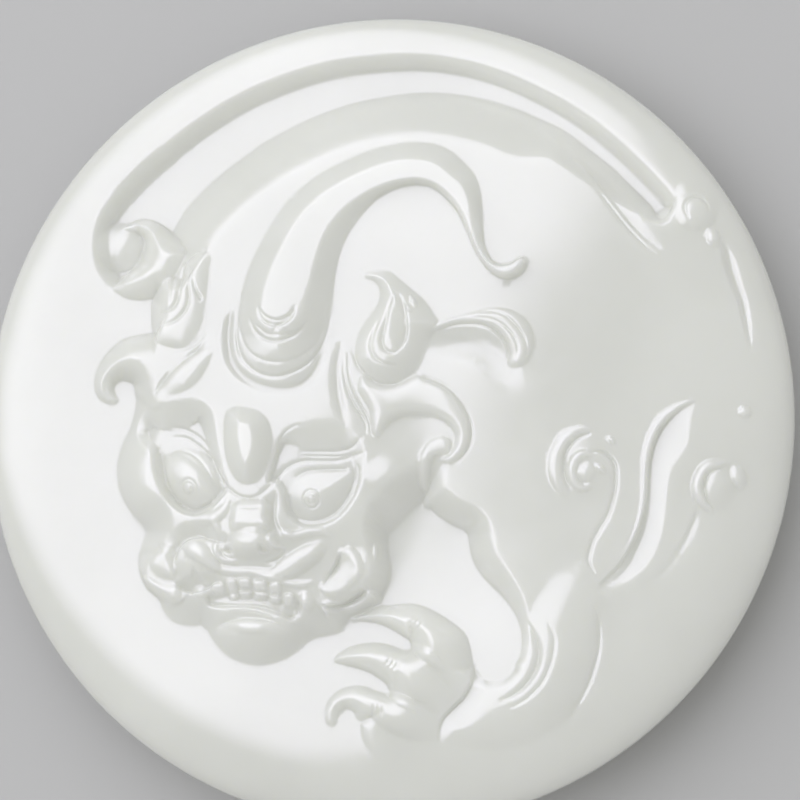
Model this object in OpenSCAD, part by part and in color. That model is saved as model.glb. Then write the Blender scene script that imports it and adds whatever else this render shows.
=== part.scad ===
// Round jade pendant: one piece of stone with a horned beast in low relief on its face
// It lies on its flat back. Its face looks up (+Z), the top of the design points to +Y

/* [Disc] */
// Diameter of the disc (mm)
disc_d = 56; // [48:1:66]
// Thickness of the blank, from the flat back to the crown of the face (mm)
disc_t = 9.6; // [9:0.2:12]
// How square the rim is: 2 is an ellipse, more is squarer
rim_power = 2.6; // [2.4:0.1:3]
// Radius of the flat on the back, as a share of the disc's radius
back_flat = 0.5; // [0.4:0.05:0.6]

/* [Relief] */
// Depth of the ground below the crown of the relief (mm)
relief_depth = 1.6; // [1:0.1:1.8]
// Radius where the ground starts to rise to the rim, in percent of the disc's radius
ground_in = 52; // [48:1:60]
// Radius where the ground meets the rim, in percent of the disc's radius
ground_out = 97; // [92:1:99]
// How much shallower the ground gets toward the hind leg, as a share
ground_lee = 0.55; // [0.3:0.05:0.7]

/* [Cord hole] */
// Radius of the drilled tunnel for the cord (mm)
hole_r = 0.9; // [0.7:0.05:1]
// Distance between the two mouths of the tunnel (mm)
hole_span = 8; // [7:0.5:8]
// Place of the tunnel above the centre, in percent of the disc's radius
hole_y = 75; // [72:1:78]

/* [Mesh] */
// Rings of the carved face
rings = 36; // [30:1:37]
// Number of steps from the carved face down to the girdle, and again to the back
rim_steps = 3; // [3:1:4]

/* [Hidden] */

disc_r = disc_d / 2;
girdle_z = disc_t / 2;
hundred = 100;
// Radius of the last carved ring, as a share of the disc's radius
carve_end = 0.96;
// Point of the face that the rings crowd round, as shares of the disc's radius
crowd_x = -0.27;
crowd_y = -0.13;
// Power that draws the rings inward
crowd_power = 1.12;
// Centre of the round hollow of the ground, in percent of the disc's radius
ground_x = -2;
ground_y = 8;
// Direction in which the ground gets shallower, and where that starts and how wide it is, in percent
lee_x = 0.82;
lee_y = -0.57;
lee_start = 30;
lee_width = 50;
// Number of straight steps between two rows of an outline
curve_steps = 2;

// Outlines: rows of x, y in percent of the disc's radius, a row given twice is a corner
// A third value is the width of the shoulder at that row, where it isn't the one in the table below
// Deeper ground in the crescent between the rim and the beast's back
crescent_line = [
    [-68, 32.3], [-70.6, 35.2], [-72.2, 39], [-72.7, 43.5], [-72.2, 48], [-70.3, 52.7], [-66, 58.5],
    [-60, 64.5], [-52.5, 70.5], [-44.5, 76.2], [-32.5, 82.8], [-16, 88.3], [0, 90.3], [14, 89.8],
    [28, 86.3], [40, 80.8], [50, 74.7], [58, 68.2], [64, 62.4], [69, 57], [71.9, 53.4], [73, 50.6],
    [72.4, 48.4], [70, 47], [60, 38], [45, 46], [25, 56], [0, 60], [-25, 54], [-38, 42], [-50, 36],
    [-61, 34], [-64.5, 32]
];
// Body curled round the disc: back, hip, hind leg, foreleg and chest, clockwise from the left ear
body_line = [
    [-50, 26], [-54.5, 31], [-55, 38], [-53.5, 46.5], [-53.5, 46.5], [-50, 52.5], [-46.8, 56],
    [-42.5, 60.2], [-38.5, 63.4], [-34, 66.6], [-30, 69.3], [-20, 74.3], [-10, 78], [0, 80], [10, 80.8],
    [20, 79.8], [30, 77.2], [38, 73.8], [45, 70, 9], [50, 66, 8], [55, 61.8, 7.5], [60, 57, 6.5],
    [65, 51.8, 4.5], [69, 47.7, 1.6], [74, 56, 1.6], [84, 50, 3], [92, 38, 4], [99, 20, 4], [101, 0],
    [99, -16], [95, -26], [84, -24], [81, -24.6], [79, -28], [76, -31], [73, -34], [70, -38], [65, -43],
    [60, -46.5], [57.5, -48.5], [56.8, -52], [55.5, -58], [53, -65], [49, -71.5], [44, -77], [38, -82],
    [30, -87], [20, -91, 8], [9, -91, 4], [3, -88, 3], [2, -82, 3], [3, -76, 3], [4.5, -71, 3],
    [7.5, -66, 3], [12, -61.5, 3], [17, -60, 2.6], [22.2, -61.8, 2.2], [22.2, -61.8, 2.2],
    [23.5, -63.8, 2.2], [26, -64.9, 2.2], [28, -64.9, 2.2], [30.5, -64, 2.2], [32.5, -62, 2.2],
    [33.8, -59, 2.2], [34.2, -55.5, 2.4], [34, -52.5, 3], [33, -49.5, 4], [31.5, -47, 5],
    [29, -44, 6.5], [26, -41, 8], [23.5, -38, 10], [22, -35], [21.3, -32], [21, -29.5], [20, -28.2],
    [17, -26.8], [14, -24.8], [12, -23], [10, -21.2], [10, -21.2], [0, -25], [-12, -30], [-30, -34],
    [-47, -26], [-52, -8], [-50, 8], [-47, 18]
];
// Foreleg, from the chest down to the wrist
foreleg_line = [
    [10, -21.2], [12, -23], [14, -24.8], [17, -26.8], [20, -28.2], [21, -29.5], [21.3, -32], [22, -35],
    [23.5, -38, 6.3], [26, -41, 5.8], [29, -44, 5], [31.5, -47, 4], [33, -49.5, 3], [34, -52.5, 2.3],
    [34.2, -55.5, 2], [33.8, -59, 2], [32.5, -62, 2], [34, -70], [44, -66], [54, -62], [55.5, -58],
    [56.8, -52], [57.5, -48.5], [60, -46.5], [65, -40], [66, -20], [55, -2], [30, 5], [12, -8]
];
// Head: mane, cheek and jaw on the left, chin, right cheek, then back up to the crown
head_line = [
    [-57, 20, 2.5], [-60, 10, 5.5], [-61, 5], [-61.4, 2], [-62.5, -2], [-64.5, -6], [-65.7, -10],
    [-66, -13.5], [-65.4, -17], [-63.8, -20.5], [-61, -24], [-59, -26], [-58.6, -28], [-59.7, -31],
    [-60.2, -34, 5], [-60, -37, 3], [-59.2, -39.5, 2], [-57.8, -41.8, 2], [-55.8, -43.6, 2.4],
    [-54.6, -45.2, 3.6], [-54.2, -47, 6], [-53.2, -48.8], [-51.5, -50.2], [-49.5, -50.9], [-47, -51],
    [-44.6, -50.8], [-44.6, -50.8], [-43.2, -52.2], [-41.5, -55], [-39.5, -57.5], [-37, -59.3],
    [-34, -60.4], [-30.5, -60.8], [-27, -60.2], [-23.5, -58.8], [-21, -57], [-19, -55.2], [-17, -54.1],
    [-14, -53.5], [-11.5, -53], [-10, -52, 8], [-8.5, -50, 6.5], [-6.5, -48.6, 5.5], [-3, -46.8, 5],
    [-0.6, -45.6, 4.7], [0, -43.5, 4.5], [1.2, -41.5, 4.2], [1.8, -39, 4], [1.9, -37, 4],
    [1.5, -34, 4.2], [1.3, -31.5, 5], [1.7, -29.3, 6.5], [2.8, -28], [5, -26], [7, -23.8], [9, -22],
    [10, -21.2], [10, -21.2], [24, -12], [30, 6], [22, 32], [0, 50], [-24, 52], [-42, 44, 2.5],
    [-46, 40, 2.5]
];
// Lock of the mane that ends in a hook, left of the brow
mane_lobe_line = [
    [-57, 21.2], [-60, 20.8], [-64, 20], [-67, 18], [-69.5, 15.3], [-71.2, 12], [-71.8, 9],
    [-71.3, 6.5], [-70, 4.7], [-68, 3.7], [-66.2, 3.8], [-65.5, 4.9], [-65.5, 4.9], [-66.4, 6.2],
    [-66.8, 7.6], [-66.2, 8.9], [-64.8, 9.5], [-63, 9.2], [-61.6, 8], [-61, 5], [-57, -2], [-48, -2],
    [-44, 10], [-47, 19], [-52, 21]
];
// Curled tail end at the upper left
tail_curl_line = [
    [-65.9, 47.6], [-65.9, 47.6], [-63.5, 49.3], [-61, 50.2], [-58, 49.8], [-55.5, 48.5], [-53, 46.8],
    [-48, 44], [-46, 40], [-50, 34], [-57, 29.8], [-57, 29.8], [-60.5, 29.6], [-64, 30.1],
    [-67.8, 32.3], [-67.8, 32.3], [-66.2, 35], [-63.6, 37.6], [-61.5, 40], [-60.3, 42.8], [-60.4, 45.3],
    [-61.8, 46.8], [-63.6, 47.1]
];
// Left ear
left_ear_line = [
    [-57.3, 29.5], [-57.5, 25], [-57, 21], [-55.3, 18], [-53, 16.6], [-50, 16.2], [-47.3, 17.2],
    [-44.8, 19.6], [-43.2, 23], [-42.6, 27.5], [-42.2, 32], [-41.8, 40], [-41.8, 40], [-45, 41.2],
    [-47, 40.7], [-49, 38.5], [-50.5, 36.4], [-53.5, 36.2], [-56, 34]
];
// Fore paw
paw_line = [
    [-0.6, -46.4], [2, -46.4], [5, -46], [8, -46.1], [11.5, -47.3], [15, -49.3], [18, -51.3],
    [20.3, -53.5], [21.3, -56], [21.9, -59], [22.2, -62], [21.5, -65], [19.5, -68.8], [17, -71.2],
    [13.6, -72.8], [13.6, -72.8], [13.9, -76.5], [13.5, -80], [12.3, -84], [11, -88.6], [6, -87.5],
    [2, -86, 4], [-1, -84, 3], [-3.5, -81.5, 2.4], [-5, -78, 2.2], [-5.2, -75, 2.2], [-5.2, -75, 2.2],
    [-3, -73, 2.6], [0, -70, 3.4], [1.9, -68.6], [1.8, -67], [1, -65.3], [1, -65.3], [0, -60],
    [4, -57.6], [7, -57], [7.3, -55.6], [6, -54], [3.4, -52.4], [0, -50.5], [-3, -49.8], [-6, -49.6],
    [-4, -48.2]
];
// Upper claw
claw_one_line = [
    [-8.5, -49.6], [-6, -49], [-3, -48], [0, -47], [4, -46.6], [9, -49], [9, -53], [6.4, -54.4],
    [3.4, -52.6], [0, -50.9], [-3, -50.1], [-6, -49.8]
];
// Middle claw
claw_two_line = [
    [-12.1, -59.8], [-12.1, -59.8], [-10.3, -57.8], [-7.2, -56.3], [-4, -55.6], [-1, -55.6], [2, -56.1],
    [5, -57.3], [8, -58], [7, -64], [3, -67], [1.8, -67], [1, -65.3], [-1, -63.9], [-3, -62.6],
    [-6, -61.5], [-9.5, -60.6]
];
// Lower claw
claw_three_line = [
    [-12.2, -75.6], [-13.5, -75.2], [-14.1, -73.5], [-14, -71.5], [-13.3, -69.6], [-12, -68],
    [-9.7, -66.5], [-7, -65.9], [-4, -66.1], [-1, -67.3], [2, -68.7], [6, -70], [6, -74], [-4.8, -74.6],
    [-6.8, -72.2], [-8.4, -71.4], [-9.8, -71.7], [-10.8, -73], [-11.2, -74.6]
];
// Left eyeball
left_eyeball_line = [
    [-53, -9.5], [-50.6, -9.4], [-46.8, -10.6], [-43.6, -13.2], [-41.2, -16.4], [-39.4, -19.2],
    [-40.8, -21.2], [-44.5, -22.3], [-48, -21.6], [-50.8, -19], [-52.8, -14.4]
];
// Hollow round the left eye, wide above and steep below
left_orbit_line = [
    [-56.6, -8.6, 2], [-59.4, -6, 2.6], [-60.4, -3, 3], [-58.8, 0.8, 5], [-54.5, 3, 7], [-49.5, 4.1],
    [-45.4, 4.2], [-41.8, 2.6, 7], [-40.2, 0, 5], [-39.6, -4, 3.5], [-38.8, -9, 2.5], [-37.6, -14, 2],
    [-36.4, -18, 2], [-38, -20.5, 1.6], [-41.5, -23.4, 1.6], [-45, -24.6, 1.6], [-48.5, -24, 1.6],
    [-51.5, -21.6, 1.6], [-54, -18, 1.6], [-55.8, -13.5, 2]
];
// Hollow round the right eye
right_orbit_line = [
    [-26, -13, 0.8], [-25, -9.5, 0.9], [-24.2, -6.4, 2], [-22.6, -4.6, 4], [-20.5, -3.4, 6],
    [-18, -2.6, 6.6], [-15, -2.1], [-11, -2.2], [-8, -3, 6.5], [-5.4, -5, 5.5], [-3.6, -8, 4],
    [-3.2, -12, 3], [-4.2, -17.5, 1.8], [-6.5, -22, 1.6], [-9.5, -25.4, 1.6], [-13, -27.4, 1.6],
    [-17, -28, 1.6], [-20.5, -27, 1.6], [-22.8, -24.4, 1.6], [-23.6, -20, 1.6], [-25, -17, 1.2],
    [-27, -17, 0.8]
];
// Long horn, swept back in an arch and ending in a small hook
horn_line = [
    [-33.8, 29], [-34.4, 24, 6.4], [-34, 20, 7.5], [-32.5, 16.5, 8.4], [-30, 13.6, 9.4],
    [-27, 12.2, 10], [-23.5, 11.9, 10], [-20, 12.8, 9.4], [-17, 14.6, 8.4], [-14.6, 17.5, 7.5],
    [-13, 21, 6.4], [-12, 26, 5.6], [-11.2, 31, 5.2], [-10, 38, 5], [-8.3, 43, 4.6], [-5.5, 47.5, 3.8],
    [-2, 51.5, 2.6], [2, 54.3, 1.6], [6, 55.7, 1.2], [10, 55.9, 1.2], [13.5, 54.8, 1.2],
    [17, 51.8, 1.2], [19.5, 48.5, 1.1], [21.5, 44, 1.1], [23.5, 39.5, 1], [26, 35.5, 1],
    [28.5, 33.2, 1], [31, 32.3, 1], [33.5, 32.9, 1], [35.4, 34.7, 1], [36.1, 36.8, 1], [35.2, 37.8, 1],
    [33.6, 37.2, 1], [32, 36.2, 1], [30, 35.9, 1], [28, 36.6, 1], [26.4, 38.6, 1], [25.5, 41.5, 1.4],
    [25.2, 46, 2.2], [24.8, 52, 2.8], [23.5, 57.5, 4], [20.5, 61.5, 4.8], [17, 64.6, 5],
    [13, 66.3, 5.1], [8, 66.9, 5.2], [3, 66.5, 5.2], [-3, 65, 5.3], [-9, 62.6, 5.4], [-14, 60, 5.5],
    [-18.5, 57, 5.6], [-23, 52.8, 5.8], [-26.5, 48], [-29.3, 43], [-31.5, 38], [-33, 33]
];
// Slope of the brow up to the foot of the horn
horn_foot_ramp_line = [
    [-33.4, 22], [-33.8, 17], [-33.4, 12.6], [-31.4, 9.2], [-28, 7], [-24, 6], [-20.4, 6.6],
    [-17.3, 8.7], [-15.2, 12], [-14.1, 17], [-13.2, 22], [-12.5, 30], [-14, 40], [-22, 46], [-30, 40],
    [-32.6, 30]
];
// Right ear, a pointed leaf
right_ear_lift_line = [
    [-3.9, 33.5, 5.6], [-3, 34.6, 6], [0, 35], [3, 34.5], [6, 32], [9, 29.5], [11, 27.5], [13, 24.5],
    [14.6, 21.5], [12.5, 18], [11, 14.5], [9.5, 11], [8, 9.3], [5, 7.2, 6.2], [2, 6.6, 5.6],
    [-0.5, 7.3, 5], [-3, 9, 4.4], [-5, 11.5, 4.2], [-5.6, 15, 4.2], [-5, 19, 4.2], [-3, 22.5, 4.2],
    [-0.5, 26, 4.4], [0.3, 29, 4.6], [-0.2, 31, 4.8], [-1.5, 32.3, 5], [-3, 32.8, 5.2]
];
// Left ear above the mane
left_ear_lift_line = [
    [-57.2, 29.5], [-57.4, 25], [-56.8, 21], [-55.2, 18.2], [-53, 16.8], [-50, 16.5], [-47.3, 17.4],
    [-44.9, 19.8], [-43.3, 23], [-42.7, 27.5], [-42.3, 32], [-42, 36], [-41.9, 40], [-45, 41],
    [-47, 40.5], [-48.9, 38.3], [-50.3, 36.2], [-53.3, 36], [-55.8, 33.8]
];
// Lock of hair that curls round the cheek
neck_curl_line = [
    [9.6, 9.2], [12, 8.4], [15, 7.2], [17.5, 5.6], [19.8, 3.2], [21.6, 0], [22.6, -3.8], [22.4, -7.5],
    [21, -10.2], [18.8, -12], [16.5, -12.6], [14.8, -11.6], [14.8, -11.6], [16.6, -10.4], [18.2, -8.2],
    [18.6, -6], [17.8, -4], [16, -2.3], [13.5, -1.2], [10, -0.8], [6.5, -1], [3.8, -2], [1.5, -4],
    [0, -6], [-1.4, -5], [-2, 0], [-3.5, 3], [-5, 6], [-4, 9], [-1, 7.4], [2, 6.6], [5, 7]
];
// Lock of hair that curls over the cheek
throat_lock_line = [
    [9.7, -17.5], [9.7, -13], [10.5, -9.6], [12.3, -7], [15, -5.9], [17, -6.6], [17.8, -8.6],
    [17, -10.2], [15.2, -10.2], [13.4, -11], [12.4, -13], [12.1, -16], [11.7, -18.5], [10.5, -19]
];
// Shell shaped tuft on the neck
shell_tuft_line = [
    [13.4, 19.8], [14.4, 21.6], [18, 23.1], [21.5, 23.9], [25, 24.8], [29, 25.3], [32.5, 24.6],
    [35.5, 22.4], [37.4, 19], [37.7, 15.8], [36.5, 12.5], [34.2, 10.8], [32, 10.8], [31.2, 12],
    [31.8, 14.4], [31, 17], [29, 19.6], [26, 21.2], [22, 21.7], [18, 21.3]
];
// Drop shaped fold at the right corner of the mouth
cheek_drop_line = [
    [-9.7, -33.6], [-8.4, -32.6], [-6.6, -32.5], [-4.9, -34], [-3.8, -37], [-4.2, -39.8], [-6.5, -42.1],
    [-9, -43.8], [-11.5, -44.4], [-13.8, -43.8], [-14.5, -42.4], [-13, -40], [-11, -38], [-10, -36]
];
// Chin
chin_line = [
    [-42, -52], [-36, -47.6], [-30, -47], [-24, -48.5], [-20, -51], [-20, -55], [-25, -59],
    [-31, -60.3], [-37, -58.5], [-41, -55]
];
// Tuft of whiskers below the right cheek
whisker_line = [
    [-14.4, -47.2], [-13.8, -45.8], [-12, -45.2], [-9, -45.6], [-6, -44.7], [-3.5, -43.2],
    [-1.6, -42.6], [-1, -44], [-2.2, -45.8], [-5, -47.2], [-8.5, -48.4], [-12, -48.9], [-13.8, -48.6]
];
// Right eyeball
right_eyeball_line = [
    [-20.8, -16.5], [-18.5, -14.7], [-14, -13.9], [-9, -13.8], [-6.2, -14.2], [-6.8, -17.8],
    [-9, -21.8], [-12, -24.4], [-15, -25.6], [-18, -25.2], [-20.6, -23], [-21.6, -20]
];
// Drop shaped boss between the brows
brow_ridge_line = [
    [-37.7, -1.5], [-36.9, 0.8], [-34.6, 1.9], [-31.6, 1.5], [-28.8, 0.6], [-26.8, -1.8], [-25.8, -5],
    [-25.7, -8.5], [-26.5, -12], [-28.1, -14.9], [-30.3, -16.9], [-32.5, -17.2], [-34.6, -15.9],
    [-36.4, -13], [-37.5, -9], [-37.9, -5]
];
// Left cheek
cheek_left_line = [
    [-53.6, -31.2], [-55, -33.2], [-56.6, -36], [-55.2, -38.3], [-52.5, -39.6], [-50.2, -39.4],
    [-49.9, -36], [-51, -32]
];
// Corner of the left jaw
jaw_lobe_line = [
    [-59.2, -38.9], [-57, -38.9], [-55, -40], [-52.5, -40.9], [-49.8, -41.1], [-48.8, -42.5],
    [-49.1, -44.6], [-51, -45.4], [-53.5, -45], [-55.5, -43.8], [-57.6, -41.8]
];
// Open mouth
mouth_line = [
    [-43, -42.8, 2], [-41, -41, 4], [-38, -40.2, 5], [-34, -39.9], [-29, -40.2], [-24.5, -41.6, 5],
    [-21, -43.2, 4], [-18.6, -45.6, 1.6], [-19.4, -49, 1], [-22, -50.2, 0.9], [-25, -49, 0.9],
    [-28.5, -47.9, 0.9], [-33, -47.2, 0.9], [-38, -47.2, 0.9], [-42, -46.6, 0.9], [-43.4, -44.6, 1.2]
];
// Jaw ledge: x, y, half width, height
jaw_ledge_way = [
    [-14.6, -46.4, 1.1, 4], [-12.6, -46.5, 2, 38], [-9.5, -46.1, 2.4, 53], [-6.6, -44.7, 2.2, 53],
    [-4.4, -42.9, 1.9, 38], [-3.2, -41.6, 1.1, 4]
];
// Drop hollow: x, y, half width, height
drop_hollow_way = [
    [-14.4, -42.8, 1.5, 4], [-12.8, -40.2, 5, 21], [-10.9, -37, 6.2, 26], [-9.8, -34.8, 5.2, 22],
    [-8.6, -32.8, 1.5, 4]
];
// Groove between the paw and the flank: x, y, half width, height
paw_edge_way = [
    [13.4, -80.4, 1.1, 1], [13.9, -77.2, 2.6, 9], [14.8, -74, 4.2, 21], [17.4, -71.2, 5.4, 29],
    [20, -68.6, 5, 29], [21.9, -65.2, 3.4, 22], [22.5, -61.5, 1.1, 5]
];
// Hollow of the tuft on the neck: x, y, half width, height
shell_hollow_way = [
    [11.5, 18, 4, 2], [14, 17.9, 4.6, 12], [17, 17.7, 5.2, 25], [21, 17.2, 5.6, 32], [25, 16, 5.6, 32],
    [28.4, 13.6, 5.4, 31], [30.4, 10.8, 4.6, 20], [31.4, 8.4, 3.6, 8], [31.8, 6.8, 3, 2]
];
// Crest of the foreleg: x, y, half width, height
foreleg_crest_way = [
    [50, -38.5, 3, 2], [47.8, -44, 6.5, 12], [44.6, -52, 8.5, 22], [42.6, -60, 9, 25],
    [39.4, -66.5, 8.6, 24], [34.4, -71.4, 8, 22], [27, -74.2, 7, 19], [19, -75.6, 5, 9],
    [14, -76.4, 3, 2]
];
// Upper finger: x, y, half width, height
finger_one_way = [
    [3, -49.4, 2, 3], [7.5, -50.6, 3.6, 19], [11, -53, 5.4, 28], [14, -56, 5.6, 28], [17, -60, 4.8, 16],
    [20, -65, 3.4, 2]
];
// Middle finger: x, y, half width, height
finger_two_way = [
    [-2, -58.6, 2, 3], [2.6, -60.2, 3.4, 21], [6.4, -62.6, 4.8, 29], [10, -65, 4.8, 26],
    [14, -68, 3.6, 11], [17, -70.6, 2.4, 2]
];
// Lower finger: x, y, half width, height
finger_three_way = [
    [-7, -69.4, 2, 3], [-2, -70.4, 3.2, 19], [2.4, -72, 4.6, 28], [6.6, -73.8, 4.8, 28],
    [10.4, -75.6, 4, 15], [13, -77, 2.4, 2]
];
// Ridge beside the hollow of the hind leg: x, y, half width, height
channel_edge_way = [
    [54.5, -41, 1.1, 2], [57.4, -38.6, 1.1, 8], [60.4, -34, 1.1, 10], [62.8, -28.6, 1.1, 10],
    [64.2, -22.4, 1.1, 10], [64.5, -16, 1.1, 10], [64.8, -11, 1.1, 11], [66, -6.4, 1.2, 12],
    [68.2, -2.6, 1.2, 11], [71.8, 0.6, 1.1, 8], [76, 2.6, 1.1, 2]
];
// Groove along the rim by the hind leg: x, y, half width, height
rim_scar_way = [
    [83.4, 41.5, 1.1, 4], [84.6, 37, 1.9, 19], [86.2, 31.5, 1.8, 19], [87.8, 27, 1.5, 18],
    [88.8, 22, 1.3, 15], [89.8, 15.5, 1.1, 3]
];
// Hollow left of the foot of the horn: x, y, half width, height
horn_collar_edge_way = [
    [-36.2, 26, 1.1, 2], [-36.8, 22.5, 1.6, 16], [-37, 18, 1.8, 20], [-36.2, 13.4, 1.8, 20],
    [-33.6, 9.6, 1.7, 16], [-29.5, 7, 1.6, 10], [-24, 5.8, 1.6, 9], [-19.6, 6.4, 1.6, 10],
    [-16.4, 8.8, 1.6, 12], [-14.2, 12.6, 1.5, 10], [-12.8, 17, 1.1, 2]
];
// Left slope of the upper lip: x, y, half width, height
lip_side_left_way = [
    [-38.5, -40.4, 1.1, 3], [-40.5, -41.2, 3, 19], [-43.2, -42.8, 6, 39], [-46.5, -43.2, 6.5, 39],
    [-49, -42.2, 4, 25], [-50.5, -41, 1.1, 3]
];
// Bridge of the nose: x, y, half width, height
nose_bridge_way = [
    [-30.8, -20.9, 3.4, 3], [-30.8, -22.4, 5, 25], [-31, -25, 5.2, 38], [-31.1, -27, 5.2, 38],
    [-31.3, -29.2, 5, 6]
];
// Upper lip: x, y, half width, height
lip_way = [
    [-48, -31, 1.1, 3], [-46.4, -31.8, 2.2, 19], [-44.4, -33, 2.6, 25], [-42, -35.2, 2, 22],
    [-39.4, -37.2, 1.4, 18], [-36, -38.2, 1.1, 15], [-30, -38.4, 1.1, 15], [-26, -39, 1.6, 19],
    [-22.6, -37.8, 2.6, 25], [-19, -35.6, 2.8, 28], [-16, -33.8, 2.4, 25], [-13.8, -32, 1.4, 3]
];
// Lower border of the upper lip: x, y, half width, height
lip_low_line_way = [
    [-31, -38.6, 1.1, 2], [-28, -39.6, 1.1, 10], [-25, -40.4, 1.1, 12], [-21.5, -41.3, 1.1, 12],
    [-18.8, -41.5, 1.1, 11], [-16, -41, 1.1, 2]
];
// Hollow of the left cheek: x, y, half width, height
cheek_hollow_left_way = [
    [-35.6, -31, 1.1, 3], [-37.6, -31.2, 2.6, 20], [-39.6, -31.2, 3.4, 25], [-41.5, -30.6, 4, 29],
    [-44, -29.9, 4.4, 31], [-46.6, -30.4, 4.4, 30], [-48.8, -32, 4, 25], [-50, -34.5, 3, 19],
    [-50.4, -37, 1.2, 6]
];
// Ridge of the lower lip: x, y, half width, height
chin_crown_way = [
    [-36.5, -51.4, 1.1, 3], [-34, -51.5, 1.7, 14], [-31.5, -51.7, 1.8, 16], [-29, -51.8, 1.6, 14],
    [-27, -51.9, 1.1, 3]
];
// Hollow below the lower lip: x, y, half width, height
chin_hollow_way = [
    [-24, -51.6, 1.1, 3], [-26.5, -50.6, 2.4, 18], [-30, -50, 3, 21], [-34, -49.9, 3, 21],
    [-37, -50.4, 2.4, 18], [-40, -51.6, 1.1, 3]
];
// Fold from the nose to the left cheek: x, y, half width, height
muzzle_fold_left_way = [
    [-46.5, -25.9, 1.1, 3], [-44, -25.6, 1.3, 12], [-41, -25.3, 1.6, 18], [-38.8, -24.3, 1.6, 18],
    [-37.2, -22.6, 1.2, 12], [-36.6, -20.9, 1.1, 3]
];
// Fold from the nose to the right cheek: x, y, half width, height
muzzle_fold_right_way = [
    [-24.8, -18.6, 1.1, 2], [-24.7, -20.6, 2.8, 15], [-24.9, -23, 3.2, 19], [-25, -25.4, 3.2, 20],
    [-24.2, -27.6, 2.2, 16], [-22.4, -29.2, 1.1, 3]
];
// Line under the brows, over the nose: x, y, half width, height
mid_brow_line_way = [
    [-41.5, -11, 1.1, 3], [-39, -14.8, 1.1, 9], [-37, -17.5, 1.1, 10], [-34.5, -19.7, 1.1, 10],
    [-32, -20.5, 1.1, 10], [-30, -20.4, 1.1, 10], [-28, -19.2, 1.1, 10], [-26, -17.4, 1.1, 10],
    [-24.5, -15.5, 1.1, 10], [-22.5, -13.3, 1.1, 10], [-20, -12, 1.1, 10], [-17, -11.5, 1.1, 10],
    [-12, -11.6, 1.1, 10], [-9, -11.3, 1.1, 9], [-5.5, -10.3, 1.1, 5], [-2.6, -9.4, 1.1, 3]
];
// Groove round the foot of the horn: x, y, half width, height
horn_base_way = [
    [-34.6, 27, 1.1, 4], [-34.8, 20, 1.1, 10], [-34.4, 16.5, 1.1, 11], [-33, 13.4, 1.1, 11],
    [-30.5, 10.8, 1.1, 11], [-27.5, 9.3, 1.1, 11], [-24, 8.9, 1.1, 11], [-20.5, 9.9, 1.1, 11],
    [-17.5, 11.6, 1.1, 11], [-15, 14.2, 1.1, 10], [-12.8, 18.5, 1.1, 6], [-11.6, 24, 1.1, 3]
];
// Horn arc d: x, y, half width, height
horn_arc_d_way = [
    [-19.6, 26, 1.1, 4], [-20.3, 23, 1.3, 14], [-22.5, 21.2, 1.9, 19], [-25, 20.8, 2, 19],
    [-27.4, 21.9, 1.7, 18], [-28.8, 24, 1.2, 12], [-29.2, 26.6, 1.1, 3]
];
// Groove at the temple: x, y, half width, height
temple_ridge_way = [
    [-41.2, 16.2, 1.1, 3], [-43.6, 13.8, 2.4, 16], [-46.4, 11.2, 3.6, 24], [-49.4, 8.6, 3.4, 22],
    [-52.4, 5.6, 1.4, 4]
];
// Drop cut into the right ear: x, y, half width, height
right_drop_way = [
    [4.2, 29, 1.1, 5], [3, 26, 1.1, 9], [2.3, 22.5, 1.1, 12], [1.6, 19.5, 1.1, 14], [1.2, 17, 1.1, 15],
    [2, 15, 1.1, 14], [3.6, 14.2, 1.1, 11], [5, 14.4, 1.1, 6]
];
// Slope beside the drop in the right ear: x, y, half width, height
right_drop_side_way = [
    [5.2, 29, 1.1, 2], [6.4, 26.6, 2.6, 12], [7.2, 23.5, 3.8, 19], [7.5, 20, 4.2, 21], [6.9, 17, 4, 20],
    [5.6, 15, 2.4, 12], [4, 14.2, 1.1, 3]
];
// Fold above the hip: x, y, half width, height
hip_fold_way = [
    [69.5, 39, 1.1, 1], [65.5, 41.2, 2, 8], [62, 44.4, 3, 12], [59, 48, 3.2, 14], [56, 52, 3.2, 14],
    [53, 56, 3, 12], [50, 59.6, 2.4, 9], [46, 63.6, 1.1, 1]
];
// Hollow between the flank and the hind leg: x, y, half width, height
channel_way = [
    [55, -40, 4, 19], [57.5, -37.5, 5, 31], [60.5, -33, 5.6, 38], [62.8, -28, 5.6, 38],
    [64.3, -22, 5, 34], [64.8, -16, 5, 34], [65.4, -11, 6, 38], [67, -6, 7.5, 38], [69.5, -2.2, 7, 31],
    [73, 0.8, 4, 12], [76.5, 2.6, 1.1, 2]
];
// Outer side of the hind leg: x, y, half width, height
hind_leg_edge_way = [
    [64, -42, 1.1, 1], [67, -39.4, 1.6, 4], [70, -36, 2.2, 6], [73.2, -31, 2.6, 9],
    [75.4, -26.4, 2.4, 10], [76.6, -23, 1.1, 2]
];
// Tendon of the foreleg: x, y, half width, height
foreleg_line_way = [
    [44, -76, 1.1, 2], [47, -71, 1.2, 6], [50, -65, 1.4, 9], [52, -59, 1.4, 9], [52.6, -54, 1.3, 8],
    [52.2, -49, 1.1, 6], [51, -45.6, 1.1, 2]
];
// Groove from the elbow down to the wrist: x, y, half width, height
elbow_groove_way = [
    [51, -10, 1.1, 3], [53.5, -9.7, 1.1, 10], [55.4, -10.8, 1.1, 14], [57, -13, 1.1, 15],
    [57.2, -16, 1.1, 15], [57, -19, 1.1, 15], [56.3, -22, 1.1, 14], [55.3, -25, 1.1, 12],
    [53.5, -28, 1.1, 12], [51.8, -31, 1.1, 12], [50.8, -34, 1.1, 12], [50.6, -36.5, 1.1, 10],
    [52, -39, 1.1, 4]
];
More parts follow.
